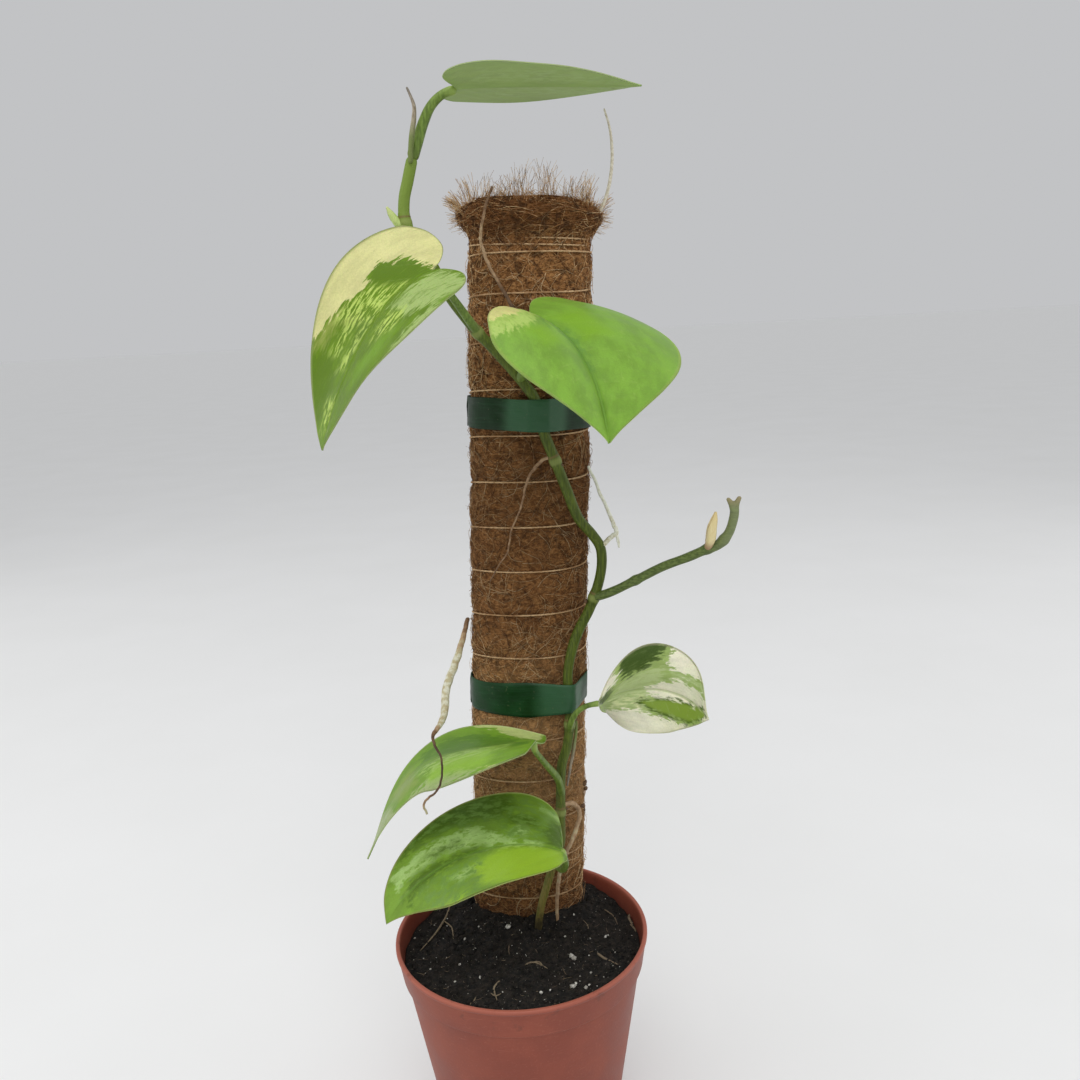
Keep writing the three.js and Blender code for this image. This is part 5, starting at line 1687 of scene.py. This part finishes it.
# %% Leaf finish
def leaf_finish(name, grain=(0.62, 0.17), solid=0.5, blur=0.04, **tones):
    """A marbled leaf skin from its own few colours."""
    tones = {"brown": (150, 160, 78), "fleck": (186, 204, 118), "rib": tones["base"], **tones}
    material, tree = new_finish(
        f"leaf_skin_{name}", 0.42, Specular_IOR_Level=0.2, Subsurface_Weight=0.12, Subsurface_Scale=0.0012,
        Subsurface_Radius=(0.5, 1.0, 0.25))
    flow = painted(tree, "flow", "Vector")
    fine = streaked(tree, flow, *grain, 1, 5.0, 0.62)
    broad = streaked(tree, flow, 0.22, 0.07, 1, 4.0, 0.6)
    cells = speckle(tree, place(tree), 1500.0, 2.0)
    under = product(tree, painted(tree, "under"), 0.5)
    tint = marbling(tree, fine, broad, tones, solid, blur)
    for amount, tone in (
        (between(tree, painted(tree, "vein"), 0.3, 1, 0, 0.12), rgb(*tones["pale"])),
        (between(tree, painted(tree, "midrib"), 0.25, 0.9, 0, 0.5), rgb(*tones["rib"])),
        (between(tree, cells, 0.3, 0.75, 0, 0.14), toned(tones["base"], 0.75)),
        (between(tree, painted(tree, "rim"), 0.55, 1, 0, 0.6), rgb(*tones["rim"])),
        (under, rgb(148, 172, 112)),
    ):
        tint = blend(tree, amount, tint, tone)
    dullness = total(tree, between(tree, broad, 0.3, 0.7, 0.34, 0.46), product(tree, under, 0.35))
    coat(tree, tint, (broad, 0.0002), (cells, 0.00006), roughness=dullness)
    return material


print("leaf recipe ready")

# %% Six leaf finishes
LEAF_TONES = {
    "top": dict(
        base=(142, 163, 88), pale=(150, 170, 104), bright=(140, 172, 76), dark=(104, 130, 58),
        cream=(200, 200, 150), rim=(176, 188, 140), fleck=(160, 182, 112)),
    "upper_left": dict(
        base=(94, 126, 8), pale=(158, 180, 106), bright=(108, 148, 20), dark=(86, 116, 8),
        cream=(214, 210, 146), rim=(170, 180, 120), fleck=(178, 200, 96), grain=(0.85, 0.15)),
    "upper_right": dict(
        base=(118, 158, 56), pale=(168, 192, 100), bright=(122, 164, 42), dark=(100, 142, 58),
        cream=(210, 206, 132), rim=(170, 190, 106), rib=(92, 132, 46)),
    "small_right": dict(
        base=(158, 180, 104), pale=(184, 200, 140), bright=(130, 160, 60), dark=(46, 72, 6),
        cream=(248, 244, 220), rim=(210, 208, 170), fleck=(214, 220, 164), rib=(172, 188, 124), solid=0.85),
    "narrow": dict(
        base=(113, 150, 46), pale=(156, 170, 118), bright=(142, 182, 62), dark=(88, 126, 40),
        cream=(190, 202, 126), rim=(178, 190, 132), brown=(138, 156, 78), fleck=(158, 190, 96)),
    "bottom": dict(
        base=(116, 150, 50), pale=(166, 196, 118), bright=(156, 192, 52), dark=(74, 102, 22),
        cream=(200, 200, 150), rim=(176, 178, 106), fleck=(110, 144, 62), rib=(100, 140, 40),
        grain=(0.42, 0.2), solid=0.85, blur=0.09),
}
LEAF_FINISHES = {name: leaf_finish(name, **tones) for name, tones in LEAF_TONES.items()}
print("leaf finishes", len(LEAF_FINISHES))

# %% [markdown]
# ## Leaves: building them
#
# A leaf is a closed shell: an upper skin, a lower skin a little under it, and a rounded rim between them.
# The midrib is a groove above and a ridge beneath. Side veins leave it at a slant and bend towards the
# tip; the skin swells slightly between them. The margin waves a little. The skin's points run in rows
# from one margin over the midrib to the other, closer together near the midrib where the groove is. Each
# point also stores its flow, the place on the leaf that the marbling's noise reads, set apart for the two
# halves so that they don't mirror each other.

# %% Leaf grid
LEAF_ROWS, LEAF_COLUMNS = 104, 28  # rows from joint to tip, and columns in each half
ROW = 2 * LEAF_COLUMNS + 1  # points in a row


def leaf_grid(leaf):
    """Leaf coordinates of a skin's points, and how far out to the margin each lies: joint, rows, tip."""
    u = np.arange(1, LEAF_ROWS) / LEAF_ROWS
    margin_x, margin_y = heart(u)
    column = np.arange(-LEAF_COLUMNS, LEAF_COLUMNS + 1) / LEAF_COLUMNS
    outward = np.repeat(np.abs(column)[None] ** 1.2, len(u), axis=0)
    across = np.sign(column)[None] * outward * margin_x[:, None]
    along = (1 - outward) * (u ** 2)[:, None] + outward * margin_y[:, None]
    if "trim" in leaf:
        across = np.where(across < 0, across * np.interp(along, *leaf["trim"]), across)
    return (np.r_[0, part.ravel(), tip] for part, tip in ((across, 0), (along, 1), (outward, 0)))


print("points in a skin:", (LEAF_ROWS - 1) * ROW + 2)

# %% Leaf relief
LEAF_THICK, RIM_THICK = 0.75, 0.4
VEINS, VEIN_SWEEP = 8.5, 0.42


def leaf_relief(leaf, across, along, outward, length, seed):
    """How far the skin rises, how thick the leaf is, and how near its side veins and midrib are."""
    x = across * np.where(across < 0, *leaf["widths"])
    taper = np.clip(1 - along, 0, 1)
    sweep = VEIN_SWEEP * np.abs(across) ** 1.25 * (0.6 + 0.4 * taper)
    phase = (along - sweep) * VEINS + 0.25 * (across > 0)
    vein_gap = np.abs(phase - np.round(phase)) * length / VEINS
    spread = np.clip(np.abs(x) / 3, 0, 1) * np.clip((1 - outward) * 4, 0, 1)
    vein = np.exp(-(vein_gap / 0.55) ** 2) * spread * np.clip(1.3 - np.abs(across), 0, 1)
    midrib = np.exp(-(x / 0.75) ** 2) * np.clip((1 - along) * 6, 0, 1)
    swell = 0.5 * (1 - np.cos(2 * np.pi * phase)) * spread * np.clip(max(leaf["widths"]) / 30, 0.5, 1)
    wave = lumpy(along * length, across * 6, seed, 9.0) * outward ** 4 * np.clip(np.abs(x) / 12, 0, 1)
    rise = 0.12 * swell - 0.07 * vein - 0.3 * midrib + 0.45 * wave - 0.12
    thick = RIM_THICK + (LEAF_THICK - RIM_THICK) * np.clip((1 - outward) * 3, 0, 1)
    thick = thick + 0.75 * np.exp(-(x / 1.1) ** 2) * np.clip(taper * 1.2, 0, 1) + 0.14 * vein
    return rise, thick, vein, midrib


print("side veins:", VEINS)

# %% Leaf shell
RIM_ROUND = 0.18


def skin_faces(rows):
    """Quads between rows of points, with a single point at either end."""
    at = 1 + np.arange(rows * ROW).reshape(rows, ROW)
    faces = np.stack([at[:-1, :-1], at[:-1, 1:], at[1:, 1:], at[1:, :-1]], -1).reshape(-1, 4).tolist()
    faces += [[0, b, a] for a, b in zip(at[0, 1:].tolist(), at[0, :-1].tolist())]
    tip = rows * ROW + 1
    return faces + [[a, b, tip] for a, b in zip(at[-1, :-1].tolist(), at[-1, 1:].tolist())]


def leaf_shell(upper, lower, facing):
    """Closes two skins with a rounded rim. Gives points, faces and the loop of margin points."""
    rows, count = LEAF_ROWS - 1, len(upper)
    loop = [0] + [1 + row * ROW for row in range(rows)] + [count - 1]
    loop += [(row + 1) * ROW for row in reversed(range(rows))]
    middle = 0.5 * (upper[loop] + lower[loop])
    round_way = unit(np.cross(np.roll(middle, -1, 0) - np.roll(middle, 1, 0), facing[loop]))
    if np.sum(round_way * (middle - middle.mean(0))) < 0:
        round_way = -round_way
    top_faces = skin_faces(rows)
    faces = top_faces + [[corner + count for corner in face[::-1]] for face in top_faces]
    for k, a in enumerate(loop):
        after = (k + 1) % len(loop)
        b, c, d = loop[after], 2 * count + k, 2 * count + after
        faces += [[a, c, d, b], [c, a + count, b + count, d]]
    return np.vstack([upper, lower, middle + round_way * RIM_ROUND]), faces, loop


print("faces in a skin:", len(skin_faces(LEAF_ROWS - 1)))

# %% Leaf blades
FLOW_WIDTH, HALVES_APART = 30, 40
for leaf_name, leaf in LEAVES.items():
    across, along, outward = leaf_grid(leaf)
    spots, facing, length = leaf_surface(leaf, across, along)
    rise, thick, vein, midrib = leaf_relief(leaf, across, along, outward, length, 90 + len(leaf_name))
    upper, lower = spots + facing * rise[:, None], spots + facing * (rise - thick)[:, None]
    spots, faces, loop = leaf_shell(upper, lower, facing)
    blade = piece(f"{leaf_name}_leaf_blade", spots, faces, LEAF_FINISHES[leaf_name], [f"leaf_{leaf_name}"])
    flow = np.stack([across * FLOW_WIDTH + HALVES_APART * (across > 0), along * length, 0 * along], -1)
    marks = area_values(leaf_name, across, along, leaf["widths"], length)
    marks.update(flow=flow, vein=vein, midrib=midrib)
    for kind, values in marks.items():
        paint(blade, kind, np.concatenate([values, values, values[loop]]))
    paint(blade, "rim", np.r_[outward ** 14, outward ** 14, np.ones(len(loop))])
    paint(blade, "under", np.r_[np.zeros(len(upper)), np.ones(len(lower)), np.full(len(loop), 0.4)])

# %% [markdown]
# ## Leaf stalks
#
# A pothos stalk has a channel on its upper side and a sheath at its foot that once wrapped the next
# leaf. Just under the blade it thickens into a small joint. All of that is in the section again: a dent
# at one angle, wings beside it that rise at the foot and fade along the stalk, and a swelling at the end.

# %% Leaf stalks
stalk_finish, tree = new_finish("leaf_stalk", 0.45, Specular_IOR_Level=0.28)
where = place(tree)
along = painted(tree, "along")
lines = streaked(tree, where, 900, 900, 160, 4.0)
tint = over(tree, rgb(80, 102, 36), (116, 140, 60), lines, 0.3, 0.7)
tint = over(tree, tint, (156, 180, 92), along, 0.8, 0.97, 0, 0.7)
tint = over(tree, tint, (82, 98, 40), along, 0, 0.3, 0.6, 0)
tint = blend(tree, painted(tree, "wing"), tint, rgb(164, 150, 104))
coat(tree, tint, (lines, 0.00015))


STALK_SIDES = 30


def stalk_section(along, angle, far):
    """A channel on top, wings beside it near the foot, and a swelling under the blade."""
    turned_angle = np.minimum(angle, 2 * np.pi - angle)
    channel = -0.30 * np.exp(-(turned_angle / 0.42) ** 2)
    fading = np.clip(1.1 - 1.7 * along, 0, 1) * np.clip(along * 10, 0, 1)
    wings = 0.34 * np.exp(-((turned_angle - 0.72) / 0.2) ** 2) * fading
    joint = 0.16 * np.exp(-((along - 0.93) / 0.06) ** 2)
    return 1 + channel + wings + joint + 0.02 * np.cos(7 * angle)


for leaf_name, leaf in LEAVES.items():
    spots, faces, along = tube(leaf["stalk"], leaf["radii"], 0.5, STALK_SIDES, stalk_section, leaf["faces"][0])
    stalk = piece(f"{leaf_name}_leaf_stalk", spots, faces, stalk_finish, [f"petiole_{leaf_name}"])
    ring = np.tile(all_round(STALK_SIDES), (len(spots) - 2) // STALK_SIDES)
    ring = np.minimum(ring, 2 * np.pi - ring)
    wing = np.exp(-((ring - 0.74) / 0.1) ** 2) * np.clip(0.8 - 1.4 * along[:-2], 0, 0.8)
    paint(stalk, "along", along)
    paint(stalk, "wing", np.r_[wing, 0, 0])

# %% [markdown]
# ## Aerial roots
#
# The vine holds on with roots that leave its knuckles. A young root is pale and plump, an old one thin,
# brown and wiry, and one root can change from one to the other along its way. So each root has a list of
# tones from joint to tip: 0 is dark brown, 1 is pale grey-green. Small bumps and a slight wander keep
# them from looking like wire.

# %% Root finish
root_finish, tree = new_finish("aerial_root", 0.7, Specular_IOR_Level=0.3)
where = place(tree)
clouds = speckle(tree, where, 420.0, 4.0)
tone = total(tree, painted(tree, "tone"), between(tree, clouds, 0.3, 0.7, -0.12, 0.12))
tint = ramped(tree, tone, (0.0, (62, 46, 34)), (0.35, (116, 88, 62)), (0.6, (168, 140, 108)),
              (0.8, (184, 176, 140)), (1.0, (222, 222, 206)))
skin = speckle(tree, where, 1500.0, 3.0)
coat(tree, over(tree, tint, (120, 100, 76), skin, 0.55, 0.75, 0, 0.35), (skin, 0.0002))
print("finish", root_finish.name)

# %% Roots
ROOTS = {  # places, radii and tones from joint to tip
    "left": ([(-17.6, 34, 253), (-20.4, 26.5, 245), (-23.6, 18, 236.5), (-27.6, 8, 228.5), (-28.3, -4, 221),
              (-29.7, -14, 218.5), (-31.9, -24, 217.8), (-30.6, -30, 215.8), (-27.9, -35, 213),
              (-27.5, -38, 208.3), (-28.1, -40, 204), (-31, -40, 199), (-35.3, -38, 195), (-36.7, -36, 191),
              (-35.9, -34, 186.5)],
             [1, 1.3, 1.7, 1.85, 1.85, 1.65, 1.15, 0.65, 0.45, 0.45, 0.5, 0.5],
             [.3, .5, .78, .84, .86, .84, .8, .82, .2, .12, .08, .1, .5, .85]),
    "right": ([(47, 20, 287.5), (51, 20, 291.4), (54.2, 20, 293.9), (52.8, 20.5, 298.2), (47.5, 22.5, 312.3),
               (42.8, 26.5, 324.6)], [1.2, 1, 0.8, 0.7, 0.6], [.85, .95, 1, 1, 1]),
    "middle": ([(27.5, 14, 331), (23.1, 14.2, 330.7), (18.9, 14.6, 327.2), (15, 15, 321.8), (12.2, 14.9, 311.9),
                (9, 15, 304.2), (6.5, 15.1, 299.3), (4, 15.5, 289.1), (-1, 17, 281.3), (-5.2, 18.9, 274.2)],
               [0.9, 0.6, 0.42, 0.38, 0.32], [.5, .42, .4, .36, .4, .3, .2]),
    "top": ([(8, 13, 374), (11.9, 14, 383.1), (13.2, 15.2, 391.5), (11.5, 15.6, 398.8), (6.4, 17, 408.8),
             (2.2, 18, 418.3), (0.5, 16.5, 425.9), (2.9, 11.8, 436.6), (7, 12, 446.8)],
            [0.9, 0.8, 0.65, 0.55], [.3, .12, .08, .1, .45, .62, .6, .35, .15]),
    "low": ([(21.7, 13.7, 162), (27.5, 17, 161.8), (31, 19.8, 155.3), (29.4, 19, 148.4), (25.2, 16, 139.6),
             (21.6, 15.4, 132.4), (19, 14.4, 122.4), (17.6, 13.6, 110), (17.4, 13, 97)],
            [1.1, 1.1, 1.0, 0.95, 0.7], [.5, .58, .62, .66, .62, .5]),
}
RIGHT_FORK = [(53.9, 20, 293.6), (54.8, 19.6, 290), (55, 19, 286.8)], [0.8, 0.7, 0.4], [1, 1]


def root_part(points, radii, tones, seed):
    """One root: a tube with bumps and a tone at each point."""
    rng = np.random.default_rng(seed)
    dense = smooth(points, 4)
    dense[1:-1] += rng.normal(0, 0.10, (len(dense) - 2, 3))

    def section(along, angle, far):
        return 1 + 0.08 * lumpy(far, angle * 1.5, seed, 1.6) + 0.05 * lumpy(far, angle * 4, seed + 1, 0.4)

    spots, faces, along = tube(dense, radii, 0.35, 14, section)
    return spots, faces, np.interp(along, np.linspace(0, 1, len(tones)), tones)


for number, (root_name, (points, radii, tones)) in enumerate(ROOTS.items()):
    parts = [root_part(points, radii, tones, 100 + number)]
    if root_name == "right":
        parts.append(root_part(*RIGHT_FORK, 110))
    spots, faces, tone = together(parts)
    root = piece(f"{root_name}_root", spots, faces, root_finish, [f"aerial_root_{root_name}"])
    paint(root, "tone", tone)

# %% [markdown]
# ### Root stubs
#
# Two dried stubs of old roots sit on the pole's right edge, and short ones show at the knuckles. They are
# rough little lumps, made with the same helper as the soil crumbs.

# %% Root stubs
STUB_TONE = 0.22
stubs = np.array([(34.5, 25, 168), (34.8, 24.5, 165.5), (33, 25, 156), (33.6, 24.4, 154), (24.6, 14, 160.5),
                  (31.2, 16.2, 205.3), (38.6, 18.6, 262.5), (30.4, 13.4, 327.5), (0.3, 9.2, 390.2)])
size = np.array([1.3, 1.0, 1.2, .9, .9, .8, .9, .8, .8])
stub_piece = lumps("root_stubs", stubs, size, root_finish, 120, 0.25, (6, 9), 0.9)
paint(stub_piece, "tone", np.full(len(stub_piece.data.vertices), STUB_TONE))
